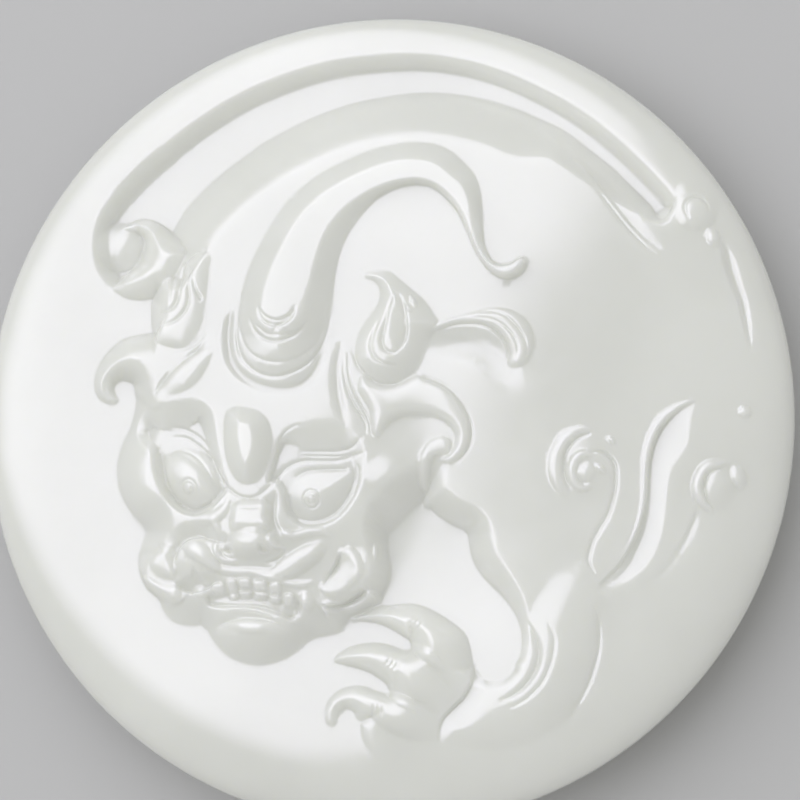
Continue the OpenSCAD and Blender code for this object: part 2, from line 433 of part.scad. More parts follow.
// Outer turn of the spiral at the elbow: x, y, half width, height
elbow_rim_way = [
    [51, -4.4, 1.1, 2], [47.8, -5, 1.3, 10], [45.2, -6.9, 1.8, 16], [43.4, -10, 1.9, 17],
    [42.8, -13, 1.9, 17], [43.1, -16, 1.8, 16], [44.2, -18.6, 1.4, 11], [45.8, -20.6, 1.1, 2]
];
// Inner turn of the spiral at the elbow: x, y, half width, height
elbow_coil_way = [
    [51.5, -10.6, 1.1, 3], [49.6, -10.3, 1.1, 16], [47.9, -11.3, 1.3, 19], [46.9, -13.4, 1.3, 19],
    [46.9, -15.8, 1.2, 18], [47.9, -17.8, 1.1, 16], [49.6, -18.6, 1.1, 12], [51.3, -17.9, 1.1, 3]
];
// Turn of the spiral at the hind leg: x, y, half width, height
hind_coil_way = [
    [84.5, -12, 1.1, 3], [82, -12.6, 1.2, 12], [79.4, -13.4, 1.5, 19], [77.6, -15.6, 1.6, 22],
    [76.9, -18.6, 1.6, 22], [77.8, -21.6, 1.4, 19], [80, -23.8, 1.1, 5]
];
// Hollow behind the wrist: x, y, half width, height
tendon_a_way = [
    [36, -51, 1.1, 5], [37.8, -55, 1.2, 16], [38.4, -59, 1.4, 22], [37.2, -63, 1.4, 22],
    [34.6, -66.4, 1.2, 19], [31.6, -68.6, 1.1, 12], [29, -69.6, 1.1, 3]
];

// A third value is the width of the shoulder at that row, where the table below has another
// Raised masses: outline, share of the full height in percent, width of the shoulder, profile
pads = [
    [body_line, 100, 12.5, "chamfer"],
    [foreleg_line, 100, 6.5, "chamfer"],
    [head_line, 100, 8.5, "chamfer"],
    [mane_lobe_line, 100, 7, "round"],
    [tail_curl_line, 85, 7, "round"],
    [left_ear_line, 100, 5.5, "chamfer"],
    [paw_line, 100, 6, "round"],
    [claw_one_line, 90, 3.2, "round"],
    [claw_two_line, 90, 4, "round"],
    [claw_three_line, 90, 3.6, "round"]
];
// Deeper parts of the ground: outline, depth in percent of the relief, width of the shoulder, profile
sinks = [
    [crescent_line, 75, 4.6, "soft"]
];
// Forms on the beast: outline, height in percent of the relief, width of the shoulder, profile
lifts = [
    [left_eyeball_line, 19, 2.2, "round"],
    [left_orbit_line, -53, 7.5, "flat"],
    [right_orbit_line, -28, 6.8, "flat"],
    [right_ear_lift_line, 56, 6.4, "chamfer"],
    [left_ear_lift_line, 31, 7.5, "round"],
    [neck_curl_line, 28, 2.6, "round"],
    [throat_lock_line, 16, 1.3, "round"],
    [shell_tuft_line, 20, 2, "round"],
    [cheek_drop_line, 19, 1.6, "round"],
    [chin_line, 22, 6, "soft"],
    [whisker_line, 25, 1.8, "round"],
    [right_eyeball_line, 38, 8, "round"],
    [brow_ridge_line, 59, 4.4, "flat"],
    [cheek_left_line, 16, 1.8, "round"],
    [jaw_lobe_line, 19, 1.8, "round"],
    [mouth_line, -28, 6, "flat"]
];
// Horn and the slope at its foot, where the highest counts: columns as in the table above
horn_parts = [
    [horn_line, 59, 6, "flat"],
    [horn_foot_ramp_line, 59, 12, "chamfer"]
];
// Ridges and grooves: rows of the way, profile
ways = [
    [jaw_ledge_way, "shelf"],
    [drop_hollow_way, "shelf"],
    [paw_edge_way, "shelf"],
    [shell_hollow_way, "cove"],
    [foreleg_crest_way, "round"],
    [finger_one_way, "round"],
    [finger_two_way, "round"],
    [finger_three_way, "round"],
    [channel_edge_way, "round"],
    [rim_scar_way, "cove"],
    [horn_collar_edge_way, "cove"],
    [lip_side_left_way, "shelf"],
    [nose_bridge_way, "bar"],
    [lip_way, "round"],
    [lip_low_line_way, "round"],
    [cheek_hollow_left_way, "shelf"],
    [chin_crown_way, "round"],
    [chin_hollow_way, "shelf"],
    [muzzle_fold_left_way, "round"],
    [muzzle_fold_right_way, "shelf"],
    [mid_brow_line_way, "groove"],
    [horn_base_way, "groove"],
    [horn_arc_d_way, "shelf"],
    [temple_ridge_way, "round"],
    [right_drop_way, "groove"],
    [right_drop_side_way, "shelf"],
    [hip_fold_way, "shelf"],
    [channel_way, "shelf"],
    [hind_leg_edge_way, "shelf"],
    [foreleg_line_way, "shelf"],
    [elbow_groove_way, "groove"],
    [elbow_rim_way, "round"],
    [elbow_coil_way, "round"],
    [hind_coil_way, "round"],
    [tendon_a_way, "groove"]
];
// Knobs: centre x, y, half length, half width, angle, height in percent of the relief, profile
knobs = [
    [-58, -20.5, 7, 8.5, 0, 21, "soft"],
    [88.3, 0, 1.6, 1.6, 0, 16, "dome"],
    [80.9, 42.9, 1.7, 2.6, 15, 19, "dome"],
    [86.6, -15.8, 1.8, 3, 20, 19, "dome"],
    [-17.8, -45.6, 1.8, 2.6, 15, 22, "dome"],
    [-44.2, -42.8, 1.9, 1.5, 0, 22, "dome"],
    [-20.7, -49, 0.8, 1.5, 0, 12, "dome"],
    [-3.8, -38.5, 6, 6.5, 0, 22, "soft"],
    [-45.4, -15.6, 9, 6.6, -42, 53, "dome"],
    [-31, -30, 13, 9.5, 0, 28, "soft"],
    [-24, 25, 15, 18, 0, 38, "soft"],
    [-65.8, 43.2, 5.8, 6.2, 0, 47, "dome"],
    [-30.6, -31.6, 6.6, 3.9, 0, 39, "dome"],
    [14, 22, 58, 60, 0, 34, "soft"],
    [2.2, -15, 6, 5, 0, 14, "soft"],
    [-44.6, -35.6, 6, 5.6, 0, 26, "dome"],
    [-30, -8, 44, 54, 0, 72, "soft"],
    [50.5, -13.6, 7.5, 8, 0, 8, "soft"],
    [50.2, -14.8, 2.2, 2.2, 0, 14, "dome"],
    [81.5, -18.2, 5, 6, 0, 22, "soft"],
    [76.8, 49.4, 5, 5, 0, 25, "dome"]
];

function smooth(t) = let (c = max(0, min(1, t))) c * c * (3 - 2 * c);

// Curve through the rows of a closed outline or of an open way
function blend(a, b, c, d, t) = 0.5 * (2 * b + (c - a) * t + (2 * a - 5 * b + 4 * c - d) * t * t
    + (3 * b - a - 3 * c + d) * t * t * t);
function curve(rows, closed) =
    let (n = len(rows), last = closed ? n - 1 : n - 2)
    [for (i = [0 : last])
        let (
            b = rows[i],
            c = rows[(i + 1) % n],
            before = closed ? rows[(i + n - 1) % n] : i > 0 ? rows[i - 1] : 2 * b - c,
            after = closed ? rows[(i + 2) % n] : i < n - 2 ? rows[i + 2] : 2 * c - b,
            a = before == b ? 2 * b - c : before,
            d = after == c ? 2 * c - b : after)
        if (b != c)
            for (k = [0 : curve_steps - 1]) blend(a, b, c, d, k / curve_steps),
     if (!closed) rows[n - 1]];

// Box round a curve: low x, high x, low y, high y
function span(line, grow) =
    let (xs = [for (p = line) p[0]], ys = [for (p = line) p[1]])
    [min(xs) - grow, max(xs) + grow, min(ys) - grow, max(ys) + grow];
function in_span(x, y, s) = x > s[0] && x < s[1] && y > s[2] && y < s[3];

// Even and odd count of the edges that a ray to the right crosses
function crossings(x, y, line, n) =
    len([for (i = [0 : n - 1])
        let (a = line[i], b = line[(i + 1) % n])
        if ((a[1] > y) != (b[1] > y) && x < a[0] + (b[0] - a[0]) * (y - a[1]) / (b[1] - a[1])) 1]);
function inside(x, y, line) = crossings(x, y, line, len(line)) % 2 == 1;

// Squared distance from a point to a segment, and the share of the segment at the nearest point
function foot(x, y, a, b) =
    let (dx = b[0] - a[0], dy = b[1] - a[1])
    max(0, min(1, ((x - a[0]) * dx + (y - a[1]) * dy) / (dx * dx + dy * dy)));
function gap2(x, y, a, b) =
    let (t = foot(x, y, a, b), ex = x - a[0] - (b[0] - a[0]) * t, ey = y - a[1] - (b[1] - a[1]) * t)
    ex * ex + ey * ey;

// Nearest place on a line: the row there, and the gap to it
function edges(line, closed) =
    let (n = len(line))
    [for (i = [0 : closed ? n - 1 : n - 2]) [line[i], line[(i + 1) % n]]];
function nearest(x, y, legs) =
    let (
        gaps = [for (e = legs) gap2(x, y, e[0], e[1])],
        near = min(gaps),
        leg = legs[search(near, gaps)[0]])
    [leg[0] + (leg[1] - leg[0]) * foot(x, y, leg[0], leg[1]), sqrt(near), leg];

// Least width of a shoulder or a way, in percent of the disc's radius
least_width = 0.1;
// Profiles of a shoulder, t runs from 0 at the outline to 1 on the top
function shoulder(t, kind) =
    kind == "round" ? 1 - (1 - t) * (1 - t) :
    kind == "soft" ? smooth(t) :
    kind == "chamfer" ? 1 - pow(1 - t, 1.3) : t;
function mass(x, y, m) =
    in_span(x, y, m[4]) && inside(x, y, m[0])
        ? let (near = nearest(x, y, m[1]))
            m[2] / hundred * shoulder(min(1, near[1] / max(near[0][2], least_width)), m[3])
        : 0;

// Share of a bar's half width that its banks take
bar_bank = 0.35;
// Profiles across a way, t runs from 0 on the line to 1 at its half width, side is 1 on its left
function across(t, side, kind) =
    kind == "round" ? 1 - t * t :
    kind == "groove" ? -pow(1 - t, 1.4) :
    kind == "cove" ? -pow(1 - t * t, 2) :
    kind == "bar" ? min(1, (1 - t) / bar_bank) :
    side > 0 ? 0 : t - 1;
function way_height(x, y, w) =
    in_span(x, y, w[2])
        ? let (
            near = nearest(x, y, w[0]),
            row = near[0],
            a = near[2][0],
            b = near[2][1],
            side = sign((b[0] - a[0]) * (y - a[1]) - (b[1] - a[1]) * (x - a[0])),
            t = near[1] / max(row[2], least_width))
            t < 1 ? row[3] / hundred * across(t, side, w[1]) : 0
        : 0;

function knob_height(x, y, k) =
    let (
        u = ((x - k[0]) * cos(k[4]) + (y - k[1]) * sin(k[4])) / k[2],
        v = ((y - k[1]) * cos(k[4]) - (x - k[0]) * sin(k[4])) / k[3],
        q = max(0, 1 - u * u - v * v))
    k[5] / hundred * (k[6] == "soft" ? q * q : k[6] == "ball" ? sqrt(q) : q);

function own_width(rows, width) = [for (p = rows) [p[0], p[1], len(p) > 2 ? p[2] : width]];
function ready(m) =
    let (line = curve(own_width(m[0], m[2]), true)) [line, edges(line, true), m[1], m[3], span(line, 0)];
function ready_way(w) =
    let (line = curve(w[0], false)) [edges(line, false), w[1], span(line, max([for (p = w[0]) p[2]]))];
ready_pads = [for (m = pads) ready(m)];
ready_sinks = [for (m = sinks) ready(m)];
ready_lifts = [for (m = lifts) ready(m)];
ready_horn = [for (m = horn_parts) ready(m)];
ready_ways = [for (w = ways) ready_way(w)];

function sum(list) = len(list) == 0 ? 0 : [for (v = list) 1] * list;

// Relief above or below the blank's face, as a share of the relief's depth; x, y in percent
function relief(x, y) =
    let (
        r = norm([x - ground_x, y - ground_y]),
        base = max([for (m = ready_pads) mass(x, y, m)]),
        fade = 1 - smooth((r - ground_in) / (ground_out - ground_in)),
        lee = 1 - ground_lee * smooth((lee_x * x + lee_y * y - lee_start) / lee_width),
        ground = fade * lee + sum([for (m = ready_sinks) mass(x, y, m)]))
    ground * (base - 1)
        + sum([for (m = ready_lifts) mass(x, y, m)])
        + max([for (m = ready_horn) mass(x, y, m)])
        + sum([for (w = ready_ways) way_height(x, y, w)])
        + sum([for (k = knobs) knob_height(x, y, k)]);

// Height of the blank at a share u of the radius: the face and the back
function bulge(u) = pow(max(0, 1 - pow(u, rim_power)), 1 / rim_power);
function face_z(u) = girdle_z + girdle_z * bulge(u);
function back_z(u) = girdle_z * (1 - min(1, bulge(u) / bulge(back_flat)));

// Places of the rings: six more points on each ring, crowded round the head, the circle stays a circle
function crowd(u, a) =
    let (
        wx = u * cos(a),
        wy = u * sin(a),
        nx = wx + crowd_x,
        ny = wy + crowd_y,
        dx = 1 + crowd_x * wx + crowd_y * wy,
        dy = crowd_x * wy - crowd_y * wx,
        q = dx * dx + dy * dy)
    [(nx * dx + ny * dy) / q, (ny * dx - nx * dy) / q];
function ring_count(k) = k == 0 ? 1 : 6 * k;
function ring_start(k) = k == 0 ? 0 : 1 + 3 * k * (k - 1);
function carved(k, j) =
    let (p = crowd(pow(k / rings, crowd_power), 360 * j / ring_count(k)) * carve_end)
    [p[0] * disc_r, p[1] * disc_r, face_z(norm(p)) + relief_depth * relief(hundred * p[0], hundred * p[1])];

// Sides of the blank: direction of each point, and the share of the radius of each step
side_count = ring_count(rings);
function way_out(j) = let (p = crowd(1, 360 * j / side_count)) p / norm(p);
// The bulge falls evenly from the carved face to the girdle and rises evenly below it
function share_at(b) = pow(1 - pow(b, rim_power), 1 / rim_power);
rim_bulge = bulge(carve_end);
upper = [for (k = [1 : rim_steps]) let (b = rim_bulge * (1 - k / rim_steps)) [share_at(b), girdle_z * (1 + b)]];
back_bulge = bulge(back_flat);
lower = [for (s = [0.25, 0.5, 0.72, 0.87, 1]) let (b = back_bulge * s) [share_at(b), girdle_z * (1 - s)]];
bands = concat(upper, lower);

module jade_blank() {
    face_points = [for (k = [0 : rings], j = [0 : ring_count(k) - 1]) carved(k, j)];
    side_points = [for (s = bands, j = [0 : side_count - 1])
        let (p = way_out(j) * s[0] * disc_r) [p[0], p[1], s[1]]];
    // Triangles between two rings: six sectors, each with one more step on the outer ring
    face_faces = [for (k = [0 : rings - 1], s = [0 : 5], i = [0 : k])
        let (
            inner = ring_start(k),
            outer = ring_start(k + 1),
            ni = ring_count(k),
            no = ring_count(k + 1),
            a = inner + (s * k + i) % ni,
            b = inner + (s * k + i + 1) % ni,
            c = outer + (s * (k + 1) + i) % no,
            d = outer + (s * (k + 1) + i + 1) % no)
        each i < k ? [[a, d, c], [a, b, d]] : [[a, d, c]]];
    first = len(face_points) - side_count;
    side_faces = [for (k = [0 : len(bands) - 1], j = [0 : side_count - 1])
        let (
            a = first + k * side_count + j,
            b = first + k * side_count + (j + 1) % side_count,
            c = a + side_count,
            d = b + side_count)
        each [[a, b, d], [a, d, c]]];
    last = first + len(bands) * side_count;
    back_face = [for (j = [0 : side_count - 1]) last + j];
    polyhedron(points = concat(face_points, side_points), faces = concat(face_faces, side_faces, [back_face]));
}

// Tunnel for the cord: two slanting bores that meet inside the stone
mouth_z = back_z(hole_y / hundred);
leg_length = hole_span / 2 * sqrt(2);
meet_z = mouth_z + hole_span / 2;
past_mouth = 2 * hole_r;
bore_sides = 24;
// Turn of each bore from the upright
bore_turn = 135;
// Half of a side's angle, so that a flat of each bore lies in the plane of the two bores
half_side = 180 / bore_sides;

module cord_leg(turn) {
    translate([0, disc_r * hole_y / hundred, meet_z])
        rotate([0, turn, 0])
            rotate([0, 0, half_side])
                cylinder(h = leg_length + past_mouth, r = hole_r, $fn = bore_sides);
}

module jade_disc() {
    color([0.80, 0.81, 0.79])
        difference() {
            jade_blank();
            cord_leg(bore_turn);
            cord_leg(-bore_turn);
        }
}

jade_disc();
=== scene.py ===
# %% [markdown]
# A round jade pendant, about 56 mm across, lies on its back on a pale table. It is one piece of pale
# grey nephrite, domed, with a horned beast carved in low relief that curls round the disc. This file
# builds its surface from a few kinds of carved form, gives it a polished jade finish, and lights it with
# one large softbox from the upper left, because the highlights are what draw the carving.

# %% Set up
import math

import bpy
import numpy as np
from mathutils import Matrix, Vector
from mathutils.geometry import delaunay_2d_cdt


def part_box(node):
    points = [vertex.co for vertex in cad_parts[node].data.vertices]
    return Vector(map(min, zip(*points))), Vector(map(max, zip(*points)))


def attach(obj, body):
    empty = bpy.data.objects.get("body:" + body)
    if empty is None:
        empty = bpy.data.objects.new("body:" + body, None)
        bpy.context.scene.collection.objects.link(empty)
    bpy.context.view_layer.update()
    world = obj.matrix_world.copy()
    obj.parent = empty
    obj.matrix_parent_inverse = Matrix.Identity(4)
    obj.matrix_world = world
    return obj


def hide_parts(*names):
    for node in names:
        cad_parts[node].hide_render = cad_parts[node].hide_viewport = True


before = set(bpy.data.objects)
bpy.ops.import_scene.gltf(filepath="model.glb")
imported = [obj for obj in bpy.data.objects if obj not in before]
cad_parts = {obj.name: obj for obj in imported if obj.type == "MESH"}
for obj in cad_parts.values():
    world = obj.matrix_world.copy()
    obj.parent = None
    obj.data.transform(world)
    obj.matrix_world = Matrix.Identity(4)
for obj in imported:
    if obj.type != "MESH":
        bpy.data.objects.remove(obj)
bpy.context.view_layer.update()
MM = 0.001


# %% [markdown]
# The disc's radius and the highest point of the carving are read from the solid, so that the detailed
# stone fills the same space. The blank is a rule, not a drawing: its section is a superellipse, which is
# squarer than an ellipse at the rim and still domed in the middle. The back is the same curve, ground
# flat in the middle so that the stone lies still.

# %% Sizes of the stone
box_low, box_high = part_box("jade_disc")
DISC_R = min(box_high[0] - box_low[0], box_high[1] - box_low[1]) / 2
TOP = box_high[2]
THICKNESS = 9.6 * MM
HALF = THICKNESS / 2
RIM_POWER = 2.6
BACK_FLAT = 0.5
RELIEF = 1.6 * MM
HUNDRED = 100


def bulge(u):
    """Height of the superellipse over the girdle at a share u of the radius, from 1 to 0."""
    return np.clip(1 - np.clip(u, 0, 1) ** RIM_POWER, 0, 1) ** (1 / RIM_POWER)


print(f"radius {DISC_R / MM:.2f} mm, blank {THICKNESS / MM:.1f} mm, carving up to {TOP / MM:.2f} mm")

# %% [markdown]
# A carver works such a relief in steps. The ground is cut down round the figure, which leaves a raised
# mass with a sloping shoulder. Forms on the mass are then rounded, and lines are cut last with the edge
# of a wheel. Sculpting could make it, but nobody can read or change a sculpt. Here each form is a short
# row in a table instead: an outline or a line through a few points, with a width, a height and a
# profile. Points are in percent of the disc's radius from its centre, heights in percent of the depth of
# the relief, and a point given twice makes a corner.

# %% A grid over the disc
CELL = 0.25
ticks = np.arange(-HUNDRED, HUNDRED + CELL / 2, CELL)
GX, GY = np.meshgrid(ticks, ticks)
GR = np.hypot(GX, GY)
LONGEST_STEP = 0.8
LEAST_WIDTH = 0.1


def smooth(t):
    t = np.clip(t, 0, 1)
    return t * t * (3 - 2 * t)


def curve(rows, closed):
    """Points of a smooth curve through the rows. All columns are blended alike."""
    p = np.array(rows, float)
    if closed:
        p = np.vstack([p[-1], p, p[:2]])
    else:
        p = np.vstack([2 * p[0] - p[1], p, 2 * p[-1] - p[-2]])
    out = []
    for a, b, c, d in zip(p[:-3], p[1:-2], p[2:-1], p[3:]):
        gap = np.hypot(*(c - b)[:2])
        if gap < 1e-6:
            continue
        a = 2 * b - c if np.allclose(a, b) else a
        d = 2 * c - b if np.allclose(c, d) else d
        steps = max(2, math.ceil(gap / LONGEST_STEP))
        for t in np.arange(steps) / steps:
            out.append(0.5 * (2 * b + (c - a) * t + (2 * a - 5 * b + 4 * c - d) * t * t
                              + (3 * b - a - 3 * c + d) * t * t * t))
    if not closed:
        out.append(p[-2])
    return np.array(out)


print(f"grid of {len(ticks)} x {len(ticks)} points, one every {CELL / HUNDRED * DISC_R / MM:.3f} mm")

# %% [markdown]
# Every form needs the same answer for each point of the grid: how far away is the nearest point of this
# curve, on which side of it, and how wide and high is the form there. The search runs segment by
# segment, each in its own small window, which is what keeps it quick.


# %% Distance to a curve
def index_span(low, high):
    first = int(math.floor((low - ticks[0]) / CELL))
    last = int(math.ceil((high - ticks[0]) / CELL)) + 1
    return max(first, 0), min(last, len(ticks))


def nearest(line, reach):
    """Window, distance, side (plus on the left of the way) and row of the nearest point of the line."""
    i0, i1 = index_span(line[:, 0].min() - reach, line[:, 0].max() + reach)
    j0, j1 = index_span(line[:, 1].min() - reach, line[:, 1].max() + reach)
    best = np.full((j1 - j0, i1 - i0), reach * reach)
    side = np.zeros_like(best)
    row = np.zeros(best.shape + (line.shape[1],))
    for a, b in zip(line[:-1], line[1:]):
        way = b[:2] - a[:2]
        length2 = way @ way
        if length2 < 1e-12:
            continue
        k0, k1 = index_span(min(a[0], b[0]) - reach, max(a[0], b[0]) + reach)
        l0, l1 = index_span(min(a[1], b[1]) - reach, max(a[1], b[1]) + reach)
        here = (slice(l0 - j0, l1 - j0), slice(k0 - i0, k1 - i0))
        px, py = GX[l0:l1, k0:k1] - a[0], GY[l0:l1, k0:k1] - a[1]
        t = np.clip((px * way[0] + py * way[1]) / length2, 0, 1)
        ex, ey = px - t * way[0], py - t * way[1]
        gap2 = ex * ex + ey * ey
        closer = gap2 < best[here]
        best[here][closer] = gap2[closer]
        side[here][closer] = np.sign(way[0] * ey - way[1] * ex)[closer]
        row[here][closer] = (a + (b - a) * t[..., None])[closer]
    return (slice(j0, j1), slice(i0, i1)), np.sqrt(best), side, row


def inside(line, window):
    px, py = GX[window], GY[window]
    hit = np.zeros(px.shape, bool)
    for a, b in zip(line, np.roll(line, -1, 0)):
        j0, j1 = np.searchsorted(py[:, 0], sorted((a[1], b[1])))
        if j1 > j0:
            cross = a[0] + (b[0] - a[0]) * (py[j0:j1, 0] - a[1]) / (b[1] - a[1])
            hit[j0:j1] ^= px[j0:j1] < cross[:, None]
    return hit


# %% [markdown]
# Three kinds of form are enough for the whole beast. A mass is an outline with a shoulder that runs up
# inside it, steep where it is narrow. A line is a ridge or a groove along a way, and a shelf is a line
# that is cut down on one side only, as where one lock of hair lies over the next. A knob is a soft round
# bump.


# %% The three kinds of form
CHAMFER_POWER, GROOVE_POWER = 1.3, 1.4
BAR_EDGE = 0.35
BANK = 0.5
LEAST_LINE = 0.01
SHOULDERS = {
    "round": lambda t: 1 - (1 - t) ** 2,
    "soft": smooth,
    "chamfer": lambda t: 1 - (1 - t) ** CHAMFER_POWER,
    "flat": lambda t: t,
}
ACROSS = {
    "round": lambda t, d, left: 1 - t * t,
    "groove": lambda t, d, left: -((1 - t) ** GROOVE_POWER),
    "cove": lambda t, d, left: -((1 - t * t) ** 2),
    "bar": lambda t, d, left: np.clip((1 - t) / BAR_EDGE, 0, 1),
    "step": lambda t, d, left: -((1 - t) ** 2) * wall(d, left),
    "shelf": lambda t, d, left: -(1 - t) * wall(d, left),
}
KNOBS = {"soft": lambda q: q * q, "dome": lambda q: q, "ball": np.sqrt}


def wall(d, left):
    """One on the low side, on the right of the way, and a short bank up to nothing on the left."""
    return np.where(left, np.clip(0.5 - d / BANK, 0, 1), np.clip(0.5 + d / BANK, 0, 1))


def add_mass(field, height, width, profile, rows, keep_highest=False):
    """A row of the outline may carry its own shoulder width."""
    line = curve([(*row, width)[:3] for row in rows], True)
    window, d, _, row = nearest(np.vstack([line, line[:1]]), line[:, 2].max())
    own = np.where(row[..., 2] > 0, np.maximum(row[..., 2], LEAST_WIDTH), LEAST_WIDTH)
    rise = np.where(inside(line, window), SHOULDERS[profile](np.clip(d / own, 0, 1)), 0) * height
    field[window] = np.maximum(field[window], rise) if keep_highest else field[window] + rise


def add_line(field, profile, rows):
    line = curve(rows, False)
    window, d, side, row = nearest(line, line[:, 2].max() + BANK)
    t = np.clip(d / np.maximum(row[..., 2], LEAST_LINE), 0, 1)
    field[window] += ACROSS[profile](t, d, side > 0) * row[..., 3]


def add_knob(field, x, y, rx, ry, turn, height, profile):
    c, s = math.cos(math.radians(turn)), math.sin(math.radians(turn))
    u = ((GX - x) * c + (GY - y) * s) / rx
    v = ((GY - y) * c - (GX - x) * s) / ry
    field += height * KNOBS[profile](np.clip(1 - u * u - v * v, 0, 1))


# Tables that the next cells fill. A mass: name, height, shoulder, profile, outline. A line: name,
# profile, rows of x, y, half width and height. A knob: name, x, y, two radii, turn, height, profile.
masses, deeper, lifts, horn_parts, lines, knobs = [], [], [], [], [], []


def tell(part):
    print(f"{part}: so far {len(masses)} masses, {len(lifts)} lifts, {len(lines)} lines")


# %% [markdown]
# The beast lies curled, as traditional carvers fit an animal to a round disc: its back follows the rim,
# the hip and the hind leg are at the right, and the foreleg comes forward under the head. The two largest
# masses are the body and the foreleg. A spiral marks each joint, an old convention for the turn of a
# muscle. The crescent between the back and the rim is cut a little deeper than the rest of the ground.

# %% Body and legs
masses += [
    ("body", 100, 12.5, "chamfer", [
        (-50, 26), (-54.5, 31), (-55, 38), (-53.5, 46.5), (-53.5, 46.5), (-50, 52.5), (-46.8, 56),
        (-42.5, 60.2), (-38.5, 63.4), (-34, 66.6), (-30, 69.3), (-20, 74.3), (-10, 78), (0, 80), (10, 80.8),
        (20, 79.8), (30, 77.2), (38, 73.8), (45, 70, 9), (50, 66, 8), (55, 61.8, 7.5), (60, 57, 6.5),
        (65, 51.8, 4.5), (69, 47.7, 1.6), (74, 56, 1.6), (84, 50, 3), (92, 38, 4), (99, 20, 4), (101, 0),
        (99, -16), (95, -26), (84, -24), (81, -24.6), (79, -28), (76, -31), (73, -34), (70, -38), (65, -43),
        (60, -46.5), (57.5, -48.5), (56.8, -52), (55.5, -58), (53, -65), (49, -71.5), (44, -77), (38, -82),
        (30, -87), (20, -91, 8), (9, -91, 4), (3, -88, 3), (2, -82, 3), (3, -76, 3), (4.5, -71, 3),
        (7.5, -66, 3), (12, -61.5, 3), (17, -60, 2.6), (22.2, -61.8, 2.2), (22.2, -61.8, 2.2),
        (23.5, -63.8, 2.2), (26, -64.9, 2.2), (28, -64.9, 2.2), (30.5, -64, 2.2), (32.5, -62, 2.2),
        (33.8, -59, 2.2), (34.2, -55.5, 2.4), (34, -52.5, 3), (33, -49.5, 4), (31.5, -47, 5),
        (29, -44, 6.5), (26, -41, 8), (23.5, -38, 10), (22, -35), (21.3, -32), (21, -29.5), (20, -28.2),
        (17, -26.8), (14, -24.8), (12, -23), (10, -21.2), (10, -21.2), (0, -25), (-12, -30), (-30, -34),
        (-47, -26), (-52, -8), (-50, 8), (-47, 18),
    ]),
    ("foreleg", 100, 6.5, "chamfer", [
        (10, -21.2), (12, -23), (14, -24.8), (17, -26.8), (20, -28.2), (21, -29.5), (21.3, -32), (22, -35),
        (23.5, -38, 6.3), (26, -41, 5.8), (29, -44, 5), (31.5, -47, 4), (33, -49.5, 3), (34, -52.5, 2.3),
        (34.2, -55.5, 2), (33.8, -59, 2), (32.5, -62, 2), (34, -70), (44, -66), (54, -62), (55.5, -58),
        (56.8, -52), (57.5, -48.5), (60, -46.5), (65, -40), (66, -20), (55, -2), (30, 5), (12, -8),
    ]),
]
deeper += [
    ("crescent", 75, 4.6, "soft", [
        (-68, 32.3), (-70.6, 35.2), (-72.2, 39), (-72.7, 43.5), (-72.2, 48), (-70.3, 52.7), (-66, 58.5),
        (-60, 64.5), (-52.5, 70.5), (-44.5, 76.2), (-32.5, 82.8), (-16, 88.3), (0, 90.3), (14, 89.8),
        (28, 86.3), (40, 80.8), (50, 74.7), (58, 68.2), (64, 62.4), (69, 57), (71.9, 53.4), (73, 50.6),
        (72.4, 48.4), (70, 47), (60, 38), (45, 46), (25, 56), (0, 60), (-25, 54), (-38, 42), (-50, 36),
        (-61, 34), (-64.5, 32),
    ]),
]
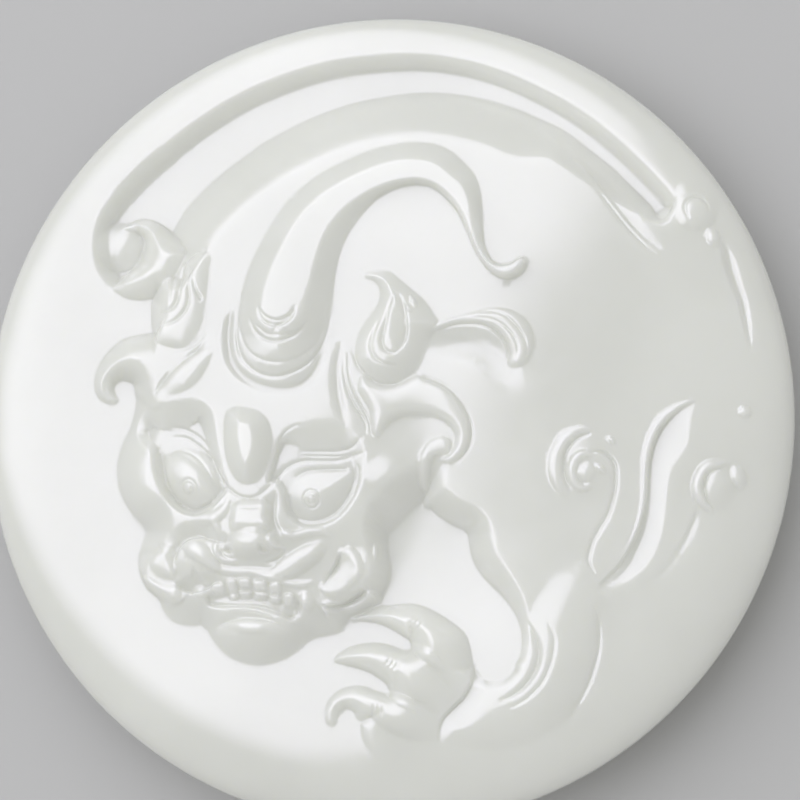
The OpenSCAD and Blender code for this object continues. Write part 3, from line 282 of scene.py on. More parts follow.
lines += [
    ("hip fold", "shelf", [
        (69.5, 39, 0.6, 1), (65.5, 41.2, 2, 8), (62, 44.4, 3, 12), (59, 48, 3.2, 14), (56, 52, 3.2, 14),
        (53, 56, 3, 12), (50, 59.6, 2.4, 9), (46, 63.6, 0.6, 1),
    ]),
    ("hip fold low", "groove", [
        (52, 56, 0.3, 3), (56, 50.6, 0.7, 9), (60, 45.4, 0.7, 9), (64, 41, 0.5, 6), (67, 38.6, 0.3, 3),
    ]),
    ("channel edge", "round", [
        (54.5, -41, 0.5, 2), (57.4, -38.6, 0.9, 8), (60.4, -34, 1, 10), (62.8, -28.6, 1, 10),
        (64.2, -22.4, 1, 10), (64.5, -16, 1, 10), (64.8, -11, 1.1, 11), (66, -6.4, 1.2, 12),
        (68.2, -2.6, 1.2, 11), (71.8, 0.6, 0.9, 8), (76, 2.6, 0.4, 2),
    ]),
    ("channel", "shelf", [
        (55, -40, 4, 19), (57.5, -37.5, 5, 31), (60.5, -33, 5.6, 38), (62.8, -28, 5.6, 38),
        (64.3, -22, 5, 34), (64.8, -16, 5, 34), (65.4, -11, 6, 38), (67, -6, 7.5, 38), (69.5, -2.2, 7, 31),
        (73, 0.8, 4, 12), (76.5, 2.6, 1, 2),
    ]),
    ("hind leg edge", "shelf", [
        (64, -42, 0.6, 1), (67, -39.4, 1.6, 4), (70, -36, 2.2, 6), (73.2, -31, 2.6, 9),
        (75.4, -26.4, 2.4, 10), (76.6, -23, 1, 2),
    ]),
    ("foreleg line", "shelf", [
        (44, -76, 0.8, 2), (47, -71, 1.2, 6), (50, -65, 1.4, 9), (52, -59, 1.4, 9), (52.6, -54, 1.3, 8),
        (52.2, -49, 1.1, 6), (51, -45.6, 0.8, 2),
    ]),
    ("foreleg crest", "round", [
        (50, -38.5, 3, 2), (47.8, -44, 6.5, 12), (44.6, -52, 8.5, 22), (42.6, -60, 9, 25),
        (39.4, -66.5, 8.6, 24), (34.4, -71.4, 8, 22), (27, -74.2, 7, 19), (19, -75.6, 5, 9),
        (14, -76.4, 3, 2),
    ]),
    ("rim scar", "cove", [
        (83.4, 41.5, 0.8, 4), (84.6, 37, 1.9, 19), (86.2, 31.5, 1.8, 19), (87.8, 27, 1.5, 18),
        (88.8, 22, 1.3, 15), (89.8, 15.5, 0.6, 3),
    ]),
    ("elbow groove", "groove", [
        (51, -10, 0.3, 3), (53.5, -9.7, 0.6, 10), (55.4, -10.8, 0.8, 14), (57, -13, 0.8, 15),
        (57.2, -16, 0.8, 15), (57, -19, 0.8, 15), (56.3, -22, 0.8, 14), (55.3, -25, 0.8, 12),
        (53.5, -28, 0.8, 12), (51.8, -31, 0.8, 12), (50.8, -34, 0.8, 12), (50.6, -36.5, 0.7, 10),
        (52, -39, 0.4, 4),
    ]),
    ("elbow rim", "round", [
        (51, -4.4, 0.6, 2), (47.8, -5, 1.3, 10), (45.2, -6.9, 1.8, 16), (43.4, -10, 1.9, 17),
        (42.8, -13, 1.9, 17), (43.1, -16, 1.8, 16), (44.2, -18.6, 1.4, 11), (45.8, -20.6, 0.7, 2),
    ]),
    ("elbow spark a", "round", [
        (52.6, -13, 0.4, 3), (53.6, -13.8, 0.9, 14), (54.9, -14.9, 0.4, 3),
    ]),
    ("elbow spark b", "round", [
        (55.6, -6.2, 0.3, 2), (56.3, -7, 0.7, 11), (57, -8, 0.3, 2),
    ]),
    ("elbow crease", "groove", [
        (51, -5.4, 0.4, 5), (48, -6.6, 0.7, 12), (46, -8.4, 0.8, 16), (44.9, -11, 0.8, 16),
        (44.7, -14, 0.8, 16), (45.2, -16.6, 0.7, 12), (46.4, -18.6, 0.4, 5),
    ]),
    ("elbow coil", "round", [
        (51.5, -10.6, 0.6, 3), (49.6, -10.3, 1.1, 16), (47.9, -11.3, 1.3, 19), (46.9, -13.4, 1.3, 19),
        (46.9, -15.8, 1.2, 18), (47.9, -17.8, 1.1, 16), (49.6, -18.6, 1, 12), (51.3, -17.9, 0.6, 3),
    ]),
    ("hind coil", "round", [
        (84.5, -12, 0.6, 3), (82, -12.6, 1.2, 12), (79.4, -13.4, 1.5, 19), (77.6, -15.6, 1.6, 22),
        (76.9, -18.6, 1.6, 22), (77.8, -21.6, 1.4, 19), (80, -23.8, 0.8, 5),
    ]),
    ("hind crease", "groove", [
        (82, -14, 0.4, 5), (79.8, -14.8, 0.7, 12), (78.7, -16.6, 0.8, 16), (78.3, -19, 0.8, 16),
        (79, -21.6, 0.7, 12), (80.6, -23.4, 0.4, 5),
    ]),
    ("hip coil", "groove", [
        (75.2, 47.4, 0.4, 6), (74.2, 49.2, 0.7, 12), (74.4, 51.4, 0.7, 14), (76, 52.8, 0.7, 14),
        (78, 52.6, 0.7, 12), (79.4, 51, 0.5, 9), (79.8, 49, 0.3, 3),
    ]),
    ("tendon a", "groove", [
        (36, -51, 0.5, 5), (37.8, -55, 1.2, 16), (38.4, -59, 1.4, 22), (37.2, -63, 1.4, 22),
        (34.6, -66.4, 1.2, 19), (31.6, -68.6, 0.9, 12), (29, -69.6, 0.4, 3),
    ]),
    ("tendon b", "groove", [
        (40.8, -51, 0.4, 3), (42.2, -55, 0.6, 6), (41.6, -60, 0.7, 8), (39, -65.6, 0.8, 10),
        (35, -69.4, 0.6, 9), (31, -71.6, 0.4, 3),
    ]),
]
knobs += [
    ("elbow spiral", 50.5, -13.6, 7.5, 8, 0, 8, "soft"),
    ("elbow eye", 50.2, -14.8, 2.2, 2.2, 0, 14, "dome"),
    ("hind speck", 88.3, 0, 1.6, 1.6, 0, 16, "dome"),
    ("hind glint", 86.6, -15.8, 1.8, 3, 20, 19, "dome"),
    ("hind spiral", 81.5, -18.2, 5, 6, 0, 22, "soft"),
    ("hip speck", 80.9, 42.9, 1.7, 2.6, 15, 19, "dome"),
    ("hip spiral", 76.8, 49.4, 5, 5, 0, 25, "dome"),
    ("flank swell", 14, 22, 58, 60, 0, 34, "soft"),
]
tell("body and legs")

# %% [markdown]
# The paw reaches in from the right and ends in three hooked claws over the deepest part of the ground.
# Each claw is a mass of its own, so that the ground shows between them. A round ridge makes each finger,
# and three fine cuts cross it where the claw grows out.

# %% Fore paw
masses += [
    ("paw", 100, 6, "round", [
        (-0.6, -46.4), (2, -46.4), (5, -46), (8, -46.1), (11.5, -47.3), (15, -49.3), (18, -51.3),
        (20.3, -53.5), (21.3, -56), (21.9, -59), (22.2, -62), (21.5, -65), (19.5, -68.8), (17, -71.2),
        (13.6, -72.8), (13.6, -72.8), (13.9, -76.5), (13.5, -80), (12.3, -84), (11, -88.6), (6, -87.5),
        (2, -86, 4), (-1, -84, 3), (-3.5, -81.5, 2.4), (-5, -78, 2.2), (-5.2, -75, 2.2), (-5.2, -75, 2.2),
        (-3, -73, 2.6), (0, -70, 3.4), (1.9, -68.6), (1.8, -67), (1, -65.3), (1, -65.3), (0, -60),
        (4, -57.6), (7, -57), (7.3, -55.6), (6, -54), (3.4, -52.4), (0, -50.5), (-3, -49.8), (-6, -49.6),
        (-4, -48.2),
    ]),
    ("claw one", 90, 3.2, "round", [
        (-8.5, -49.6), (-6, -49), (-3, -48), (0, -47), (4, -46.6), (9, -49), (9, -53), (6.4, -54.4),
        (3.4, -52.6), (0, -50.9), (-3, -50.1), (-6, -49.8),
    ]),
    ("claw two", 90, 4, "round", [
        (-12.1, -59.8), (-12.1, -59.8), (-10.3, -57.8), (-7.2, -56.3), (-4, -55.6), (-1, -55.6), (2, -56.1),
        (5, -57.3), (8, -58), (7, -64), (3, -67), (1.8, -67), (1, -65.3), (-1, -63.9), (-3, -62.6),
        (-6, -61.5), (-9.5, -60.6),
    ]),
    ("claw three", 90, 3.6, "round", [
        (-12.2, -75.6), (-13.5, -75.2), (-14.1, -73.5), (-14, -71.5), (-13.3, -69.6), (-12, -68),
        (-9.7, -66.5), (-7, -65.9), (-4, -66.1), (-1, -67.3), (2, -68.7), (6, -70), (6, -74), (-4.8, -74.6),
        (-6.8, -72.2), (-8.4, -71.4), (-9.8, -71.7), (-10.8, -73), (-11.2, -74.6),
    ]),
]
lines += [
    ("paw edge", "shelf", [
        (13.4, -80.4, 1, 1), (13.9, -77.2, 2.6, 9), (14.8, -74, 4.2, 21), (17.4, -71.2, 5.4, 29),
        (20, -68.6, 5, 29), (21.9, -65.2, 3.4, 22), (22.5, -61.5, 1, 5),
    ]),
    ("finger one", "round", [
        (3, -49.4, 2, 3), (7.5, -50.6, 3.6, 19), (11, -53, 5.4, 28), (14, -56, 5.6, 28), (17, -60, 4.8, 16),
        (20, -65, 3.4, 2),
    ]),
    ("finger two", "round", [
        (-2, -58.6, 2, 3), (2.6, -60.2, 3.4, 21), (6.4, -62.6, 4.8, 29), (10, -65, 4.8, 26),
        (14, -68, 3.6, 11), (17, -70.6, 2.4, 2),
    ]),
    ("finger three", "round", [
        (-7, -69.4, 2, 3), (-2, -70.4, 3.2, 19), (2.4, -72, 4.6, 28), (6.6, -73.8, 4.8, 28),
        (10.4, -75.6, 4, 15), (13, -77, 2.4, 2),
    ]),
    ("finger web one", "round", [
        (7.8, -56.4, 0.8, 3), (10.4, -58, 1.6, 16), (13, -59.8, 1.4, 12), (15, -61.6, 0.8, 2),
    ]),
    ("finger web two", "round", [
        (2, -68, 0.8, 3), (4.6, -69.4, 1.4, 15), (7.4, -70.8, 1.3, 12), (9.6, -72.4, 0.8, 2),
    ]),
]

RING_GAP, RING_BOW = 1.15, 0.4
# Middle x, y, turn and half length of the three cuts on each finger
for x, y, turn, half_length in ((9, -50.8, -38, 1.7), (3, -60.7, -32, 1.6), (-0.6, -72.1, -12, 2)):
    along = np.array([math.cos(math.radians(turn)), math.sin(math.radians(turn))])
    cross = np.array([-along[1], along[0]])
    for n in (-1, 0, 1):
        middle = np.array([x, y]) + n * RING_GAP * along
        ends = [middle - RING_BOW * along + s * half_length * cross for s in (-1, 1)]
        cut = [(*ends[0], 0.3, 3), (*middle, 0.45, 10), (*ends[1], 0.3, 3)]
        lines.append(("knuckle cut", "groove", cut))
tell("fore paw")

# %% [markdown]
# The head turns to face us and is the highest part after the horn. Its outline runs down the cheek and the
# jaw, round the chin and back up past the other cheek. A lock of the mane ends in a hook on the left, and
# above it lies the curled tip of the tail.

# %% Head and mane
masses += [
    ("head", 100, 8.5, "chamfer", [
        (-57, 20, 2.5), (-60, 10, 5.5), (-61, 5), (-61.4, 2), (-62.5, -2), (-64.5, -6), (-65.7, -10),
        (-66, -13.5), (-65.4, -17), (-63.8, -20.5), (-61, -24), (-59, -26), (-58.6, -28), (-59.7, -31),
        (-60.2, -34, 5), (-60, -37, 3), (-59.2, -39.5, 2), (-57.8, -41.8, 2), (-55.8, -43.6, 2.4),
        (-54.6, -45.2, 3.6), (-54.2, -47, 6), (-53.2, -48.8), (-51.5, -50.2), (-49.5, -50.9), (-47, -51),
        (-44.6, -50.8), (-44.6, -50.8), (-43.2, -52.2), (-41.5, -55), (-39.5, -57.5), (-37, -59.3),
        (-34, -60.4), (-30.5, -60.8), (-27, -60.2), (-23.5, -58.8), (-21, -57), (-19, -55.2), (-17, -54.1),
        (-14, -53.5), (-11.5, -53), (-10, -52, 8), (-8.5, -50, 6.5), (-6.5, -48.6, 5.5), (-3, -46.8, 5),
        (-0.6, -45.6, 4.7), (0, -43.5, 4.5), (1.2, -41.5, 4.2), (1.8, -39, 4), (1.9, -37, 4),
        (1.5, -34, 4.2), (1.3, -31.5, 5), (1.7, -29.3, 6.5), (2.8, -28), (5, -26), (7, -23.8), (9, -22),
        (10, -21.2), (10, -21.2), (24, -12), (30, 6), (22, 32), (0, 50), (-24, 52), (-42, 44, 2.5),
        (-46, 40, 2.5),
    ]),
    ("mane lobe", 100, 7, "round", [
        (-57, 21.2), (-60, 20.8), (-64, 20), (-67, 18), (-69.5, 15.3), (-71.2, 12), (-71.8, 9),
        (-71.3, 6.5), (-70, 4.7), (-68, 3.7), (-66.2, 3.8), (-65.5, 4.9), (-65.5, 4.9), (-66.4, 6.2),
        (-66.8, 7.6), (-66.2, 8.9), (-64.8, 9.5), (-63, 9.2), (-61.6, 8), (-61, 5), (-57, -2), (-48, -2),
        (-44, 10), (-47, 19), (-52, 21),
    ]),
    ("tail curl", 85, 7, "round", [
        (-65.9, 47.6), (-65.9, 47.6), (-63.5, 49.3), (-61, 50.2), (-58, 49.8), (-55.5, 48.5), (-53, 46.8),
        (-48, 44), (-46, 40), (-50, 34), (-57, 29.8), (-57, 29.8), (-60.5, 29.6), (-64, 30.1),
        (-67.8, 32.3), (-67.8, 32.3), (-66.2, 35), (-63.6, 37.6), (-61.5, 40), (-60.3, 42.8), (-60.4, 45.3),
        (-61.8, 46.8), (-63.6, 47.1),
    ]),
]
lifts += [
    ("jaw lobe", 19, 1.8, "round", [
        (-59.2, -38.9), (-57, -38.9), (-55, -40), (-52.5, -40.9), (-49.8, -41.1), (-48.8, -42.5),
        (-49.1, -44.6), (-51, -45.4), (-53.5, -45), (-55.5, -43.8), (-57.6, -41.8),
    ]),
    ("cheek left", 16, 1.8, "round", [
        (-53.6, -31.2), (-55, -33.2), (-56.6, -36), (-55.2, -38.3), (-52.5, -39.6), (-50.2, -39.4),
        (-49.9, -36), (-51, -32),
    ]),
]
lines += [
    ("mane curl line", "groove", [
        (-68.3, 10.4, 0.4, 5), (-68.9, 8.2, 0.7, 11), (-68.5, 6.2, 0.7, 11), (-67.4, 4.9, 0.5, 6),
    ]),
    ("temple ridge", "round", [
        (-41.2, 16.2, 1, 3), (-43.6, 13.8, 2.4, 16), (-46.4, 11.2, 3.6, 24), (-49.4, 8.6, 3.4, 22),
        (-52.4, 5.6, 1.4, 4),
    ]),
    ("temple line", "groove", [
        (-42.6, 18.5, 0.4, 4), (-44.8, 15.9, 0.8, 12), (-48, 13.4, 1, 16), (-51, 10.8, 1, 16),
        (-53.6, 8, 0.9, 12), (-55.2, 5.6, 0.5, 6),
    ]),
    ("jaw ledge", "shelf", [
        (-14.6, -46.4, 0.8, 4), (-12.6, -46.5, 2, 38), (-9.5, -46.1, 2.4, 53), (-6.6, -44.7, 2.2, 53),
        (-4.4, -42.9, 1.9, 38), (-3.2, -41.6, 0.8, 4),
    ]),
    ("cheek hollow left", "shelf", [
        (-35.6, -31, 0.8, 3), (-37.6, -31.2, 2.6, 20), (-39.6, -31.2, 3.4, 25), (-41.5, -30.6, 4, 29),
        (-44, -29.9, 4.4, 31), (-46.6, -30.4, 4.4, 30), (-48.8, -32, 4, 25), (-50, -34.5, 3, 19),
        (-50.4, -37, 1.2, 6),
    ]),
]
knobs += [
    ("left cheek swell", -58, -20.5, 7, 8.5, 0, 21, "soft"),
    ("right cheek swell", -3.8, -38.5, 6, 6.5, 0, 22, "soft"),
    ("head dome", -30, -8, 44, 54, 0, 72, "soft"),
    ("tail blob", -65.8, 43.2, 5.8, 6.2, 0, 47, "dome"),
]
tell("head and mane")

# %% [markdown]
# One long horn grows from the middle of the brow, sweeps back over the neck and ends in a small hook. It
# has steep flanks and a flat crown, so a bright line follows it all the way, and its foot runs out in a
# slope toward the brow, where rings are cut. The highest of its parts counts, so that they run into each
# other without a seam.

# %% Horn
horn_parts += [
    ("horn", 59, 6, "flat", [
        (-33.8, 29), (-34.4, 24, 6.4), (-34, 20, 7.5), (-32.5, 16.5, 8.4), (-30, 13.6, 9.4),
        (-27, 12.2, 10), (-23.5, 11.9, 10), (-20, 12.8, 9.4), (-17, 14.6, 8.4), (-14.6, 17.5, 7.5),
        (-13, 21, 6.4), (-12, 26, 5.6), (-11.2, 31, 5.2), (-10, 38, 5), (-8.3, 43, 4.6), (-5.5, 47.5, 3.8),
        (-2, 51.5, 2.6), (2, 54.3, 1.6), (6, 55.7, 1.2), (10, 55.9, 1.2), (13.5, 54.8, 1.2),
        (17, 51.8, 1.2), (19.5, 48.5, 1.1), (21.5, 44, 1.1), (23.5, 39.5, 1), (26, 35.5, 1),
        (28.5, 33.2, 1), (31, 32.3, 1), (33.5, 32.9, 1), (35.4, 34.7, 1), (36.1, 36.8, 1), (35.2, 37.8, 1),
        (33.6, 37.2, 1), (32, 36.2, 1), (30, 35.9, 1), (28, 36.6, 1), (26.4, 38.6, 1), (25.5, 41.5, 1.4),
        (25.2, 46, 2.2), (24.8, 52, 2.8), (23.5, 57.5, 4), (20.5, 61.5, 4.8), (17, 64.6, 5),
        (13, 66.3, 5.1), (8, 66.9, 5.2), (3, 66.5, 5.2), (-3, 65, 5.3), (-9, 62.6, 5.4), (-14, 60, 5.5),
        (-18.5, 57, 5.6), (-23, 52.8, 5.8), (-26.5, 48), (-29.3, 43), (-31.5, 38), (-33, 33),
    ]),
    ("horn foot ramp", 59, 12, "chamfer", [
        (-33.4, 22), (-33.8, 17), (-33.4, 12.6), (-31.4, 9.2), (-28, 7), (-24, 6), (-20.4, 6.6),
        (-17.3, 8.7), (-15.2, 12), (-14.1, 17), (-13.2, 22), (-12.5, 30), (-14, 40), (-22, 46), (-30, 40),
        (-32.6, 30),
    ]),
]
lines += [
    ("horn collar edge", "cove", [
        (-36.2, 26, 0.8, 2), (-36.8, 22.5, 1.6, 16), (-37, 18, 1.8, 20), (-36.2, 13.4, 1.8, 20),
        (-33.6, 9.6, 1.7, 16), (-29.5, 7, 1.6, 10), (-24, 5.8, 1.6, 9), (-19.6, 6.4, 1.6, 10),
        (-16.4, 8.8, 1.6, 12), (-14.2, 12.6, 1.5, 10), (-12.8, 17, 0.8, 2),
    ]),
    ("horn base", "groove", [
        (-34.6, 27, 0.4, 4), (-34.8, 20, 0.7, 10), (-34.4, 16.5, 0.7, 11), (-33, 13.4, 0.7, 11),
        (-30.5, 10.8, 0.7, 11), (-27.5, 9.3, 0.7, 11), (-24, 8.9, 0.7, 11), (-20.5, 9.9, 0.7, 11),
        (-17.5, 11.6, 0.7, 11), (-15, 14.2, 0.7, 10), (-12.8, 18.5, 0.5, 6), (-11.6, 24, 0.3, 3),
    ]),
    ("horn arc a", "groove", [
        (-34, 30, 0.3, 3), (-34, 22, 0.5, 6), (-33, 17.8, 0.5, 6), (-31, 14.8, 0.5, 6), (-28, 13, 0.5, 6),
        (-24.5, 12.3, 0.5, 6), (-21, 12.7, 0.5, 6), (-17.8, 14.2, 0.5, 6), (-15, 16.8, 0.4, 5),
        (-13.6, 20, 0.3, 3),
    ]),
    ("horn arc b", "groove", [
        (-16.8, 22.4, 0.3, 3), (-18.5, 20, 0.6, 9), (-21, 18.2, 0.7, 12), (-24.5, 17.3, 0.7, 14),
        (-27.5, 18.1, 0.7, 12), (-29.8, 20.2, 0.6, 9), (-31.3, 23.3, 0.3, 3),
    ]),
    ("horn arc c", "groove", [
        (-19, 19.9, 0.4, 4), (-21.5, 19, 0.5, 8), (-24.5, 18.8, 0.5, 8), (-27, 19.4, 0.5, 8),
        (-29.5, 21.4, 0.4, 4),
    ]),
    ("horn arc d", "shelf", [
        (-19.6, 26, 0.4, 4), (-20.3, 23, 1.3, 14), (-22.5, 21.2, 1.9, 19), (-25, 20.8, 2, 19),
        (-27.4, 21.9, 1.7, 18), (-28.8, 24, 1.2, 12), (-29.2, 26.6, 0.4, 3),
    ]),
    ("horn arc e", "groove", [
        (-20, 24.6, 0.4, 6), (-22, 22.9, 0.6, 10), (-24.5, 22.4, 0.6, 10), (-27, 23.4, 0.6, 10),
        (-28.4, 25.2, 0.4, 6),
    ]),
]
knobs += [
    ("horn foot", -24, 25, 15, 18, 0, 38, "soft"),
]
tell("horn")

# %% [markdown]
# The left ear is fluted and seen from the side, the right ear is a leaf with a drop cut into it. Between
# the right ear and the cheek two locks of hair curl forward, and a shell shaped tuft lies on the neck.

# %% Ears and locks of hair
masses += [
    ("left ear", 100, 5.5, "chamfer", [
        (-57.3, 29.5), (-57.5, 25), (-57, 21), (-55.3, 18), (-53, 16.6), (-50, 16.2), (-47.3, 17.2),
        (-44.8, 19.6), (-43.2, 23), (-42.6, 27.5), (-42.2, 32), (-41.8, 40), (-41.8, 40), (-45, 41.2),
        (-47, 40.7), (-49, 38.5), (-50.5, 36.4), (-53.5, 36.2), (-56, 34),
    ]),
]
lifts += [
    ("left ear lift", 31, 7.5, "round", [
        (-57.2, 29.5), (-57.4, 25), (-56.8, 21), (-55.2, 18.2), (-53, 16.8), (-50, 16.5), (-47.3, 17.4),
        (-44.9, 19.8), (-43.3, 23), (-42.7, 27.5), (-42.3, 32), (-42, 36), (-41.9, 40), (-45, 41),
        (-47, 40.5), (-48.9, 38.3), (-50.3, 36.2), (-53.3, 36), (-55.8, 33.8),
    ]),
    ("right ear lift", 56, 6.4, "chamfer", [
        (-3.9, 33.5, 5.6), (-3, 34.6, 6), (0, 35), (3, 34.5), (6, 32), (9, 29.5), (11, 27.5), (13, 24.5),
        (14.6, 21.5), (12.5, 18), (11, 14.5), (9.5, 11), (8, 9.3), (5, 7.2, 6.2), (2, 6.6, 5.6),
        (-0.5, 7.3, 5), (-3, 9, 4.4), (-5, 11.5, 4.2), (-5.6, 15, 4.2), (-5, 19, 4.2), (-3, 22.5, 4.2),
        (-0.5, 26, 4.4), (0.3, 29, 4.6), (-0.2, 31, 4.8), (-1.5, 32.3, 5), (-3, 32.8, 5.2),
    ]),
    ("neck curl", 28, 2.6, "round", [
        (9.6, 9.2), (12, 8.4), (15, 7.2), (17.5, 5.6), (19.8, 3.2), (21.6, 0), (22.6, -3.8), (22.4, -7.5),
        (21, -10.2), (18.8, -12), (16.5, -12.6), (14.8, -11.6), (14.8, -11.6), (16.6, -10.4), (18.2, -8.2),
        (18.6, -6), (17.8, -4), (16, -2.3), (13.5, -1.2), (10, -0.8), (6.5, -1), (3.8, -2), (1.5, -4),
        (0, -6), (-1.4, -5), (-2, 0), (-3.5, 3), (-5, 6), (-4, 9), (-1, 7.4), (2, 6.6), (5, 7),
    ]),
    ("throat lock", 16, 1.3, "round", [
        (9.7, -17.5), (9.7, -13), (10.5, -9.6), (12.3, -7), (15, -5.9), (17, -6.6), (17.8, -8.6),
        (17, -10.2), (15.2, -10.2), (13.4, -11), (12.4, -13), (12.1, -16), (11.7, -18.5), (10.5, -19),
    ]),
    ("shell tuft", 20, 2, "round", [
        (13.4, 19.8), (14.4, 21.6), (18, 23.1), (21.5, 23.9), (25, 24.8), (29, 25.3), (32.5, 24.6),
        (35.5, 22.4), (37.4, 19), (37.7, 15.8), (36.5, 12.5), (34.2, 10.8), (32, 10.8), (31.2, 12),
        (31.8, 14.4), (31, 17), (29, 19.6), (26, 21.2), (22, 21.7), (18, 21.3),
    ]),
]
lines += [
    ("left ear rim", "groove", [
        (-49.3, 36, 0.4, 5), (-47.8, 39, 0.6, 9), (-45.5, 40.4, 0.6, 9), (-42.5, 40.4, 0.5, 6),
    ]),
    ("left ear foot", "step", [
        (-42, 22, 0.6, 4), (-43.4, 18.8, 1.5, 8), (-45.6, 16.9, 2, 9), (-48.5, 16.1, 2, 9),
        (-51.5, 16.5, 2, 9), (-55, 17.8, 0.8, 4),
    ]),
    ("left flute a", "groove", [
        (-48.8, 38, 0.5, 8), (-49.3, 34, 0.9, 14), (-49.6, 30, 1, 16), (-50.2, 27.6, 1, 16),
        (-51.6, 26.2, 0.9, 14), (-54, 25.4, 0.5, 6),
    ]),
    ("left flute b", "groove", [
        (-47.4, 37, 0.4, 6), (-47.1, 32, 0.7, 11), (-47, 28, 0.8, 12), (-48.2, 25.2, 0.8, 12),
        (-50.4, 23.2, 0.8, 11), (-53, 22.4, 0.4, 5),
    ]),
    ("left flute c", "groove", [
        (-46.7, 36, 0.3, 6), (-45.6, 31.6, 0.6, 11), (-44.2, 28.8, 0.8, 14),
    ]),
    ("left flute d", "groove", [
        (-51.4, 35.5, 0.3, 5), (-51.5, 32, 0.5, 8), (-51.7, 28, 0.3, 5),
    ]),
    ("right ear spark a", "round", [
        (6.8, 26.6, 0.3, 4), (7.6, 25.2, 0.6, 12), (8, 24.2, 0.3, 4),
    ]),
    ("right ear spark b", "round", [
        (8, 28.4, 0.3, 4), (8.8, 26.8, 0.7, 14), (9.3, 25.4, 0.3, 4),
    ]),
    ("right ear foot", "groove", [
        (-6.2, 15, 0.3, 4), (-5, 12, 0.5, 9), (-3.2, 9.6, 0.5, 10), (-1, 7.8, 0.5, 10), (1.6, 6.9, 0.5, 9),
        (4.5, 7, 0.3, 3),
    ]),
    ("right drop", "groove", [
        (4.2, 29, 0.3, 5), (3, 26, 0.6, 9), (2.3, 22.5, 0.8, 12), (1.6, 19.5, 0.9, 14), (1.2, 17, 0.9, 15),
        (2, 15, 0.8, 14), (3.6, 14.2, 0.7, 11), (5, 14.4, 0.5, 6),
    ]),
    ("right drop side", "shelf", [
        (5.2, 29, 0.8, 2), (6.4, 26.6, 2.6, 12), (7.2, 23.5, 3.8, 19), (7.5, 20, 4.2, 21), (6.9, 17, 4, 20),
        (5.6, 15, 2.4, 12), (4, 14.2, 0.8, 3),
    ]),
    ("right drop outer", "groove", [
        (0.3, 22, 0.3, 5), (-0.8, 19, 0.8, 11), (-1.4, 16.5, 1.1, 15), (-1, 14, 1, 15),
        (0.4, 12.4, 0.8, 14), (2.4, 11.5, 0.6, 11), (4.4, 11.4, 0.3, 5),
    ]),
    ("lock side", "cove", [
        (-9, 17, 0.8, 2), (-10, 12, 1.5, 12), (-10, 6, 1.6, 15), (-9, 1, 1.5, 12), (-7.8, -3, 0.8, 2),
    ]),
    ("lock a", "groove", [
        (-8.6, 14, 0.4, 4), (-8.4, 10, 0.7, 11), (-7.6, 6, 0.7, 12), (-6.2, 2.6, 0.7, 12),
        (-4.2, -0.6, 0.7, 11), (-3, -3, 0.5, 8), (-3, -5, 0.3, 4),
    ]),
    ("lock b", "groove", [
        (-7.3, 14.5, 0.3, 4), (-7.2, 10, 0.5, 9), (-6.4, 6.4, 0.5, 10), (-5, 3.2, 0.5, 10),
        (-3.2, 0, 0.5, 9), (-2, -3, 0.4, 6), (-1.8, -5, 0.3, 4),
    ]),
    ("neck curl edge", "groove", [
        (8.4, 9.6, 0.3, 3), (10, 8.7, 0.5, 8), (13, 7.7, 0.6, 9), (16, 6.3, 0.6, 10), (18.6, 4, 0.6, 10),
        (20.6, 1, 0.6, 10), (22.2, -2.4, 0.6, 10), (22.4, -6, 0.6, 10), (21.4, -9.2, 0.6, 9),
        (19.3, -11.5, 0.5, 6), (17, -12.4, 0.3, 3),
    ]),
    ("shell hollow", "cove", [
        (11.5, 18, 4, 2), (14, 17.9, 4.6, 12), (17, 17.7, 5.2, 25), (21, 17.2, 5.6, 32), (25, 16, 5.6, 32),
        (28.4, 13.6, 5.4, 31), (30.4, 10.8, 4.6, 20), (31.4, 8.4, 3.6, 8), (31.8, 6.8, 3, 2),
    ]),
    ("shell a", "groove", [
        (14, 19.8, 0.3, 4), (18, 21.2, 0.6, 10), (22, 21.5, 0.7, 12), (26, 21, 0.7, 12),
        (29, 19.2, 0.7, 12), (31, 16.6, 0.7, 12), (31.6, 14, 0.7, 11), (31.2, 12, 0.4, 5),
    ]),
    ("shell c", "groove", [
        (19, 22.4, 0.3, 3), (23, 22.9, 0.5, 8), (27, 22.6, 0.5, 8), (30.5, 20.9, 0.5, 8),
        (32.9, 18.2, 0.5, 8), (33.9, 15.4, 0.5, 8), (33.4, 12.8, 0.4, 5),
    ]),
    ("shell b", "groove", [
        (25, 24, 0.3, 4), (28.5, 24.2, 0.6, 9), (31.5, 22.8, 0.6, 9), (34, 20.2, 0.6, 9),
        (35.8, 17, 0.6, 9), (36, 14, 0.6, 9), (34.8, 12, 0.3, 5),
    ]),
]
knobs += [
    ("cheek muscle", 2.2, -15, 6, 5, 0, 14, "soft"),
]
tell("ears and locks of hair")

# %% [markdown]
# A drop shaped boss stands between the brows. Each orbit is hollowed out under its brow, with a wide soft
# bank above and a steep one below. The eyeballs stand in the hollows, with two lids cut round each and a
# ring and a dot for the pupil.

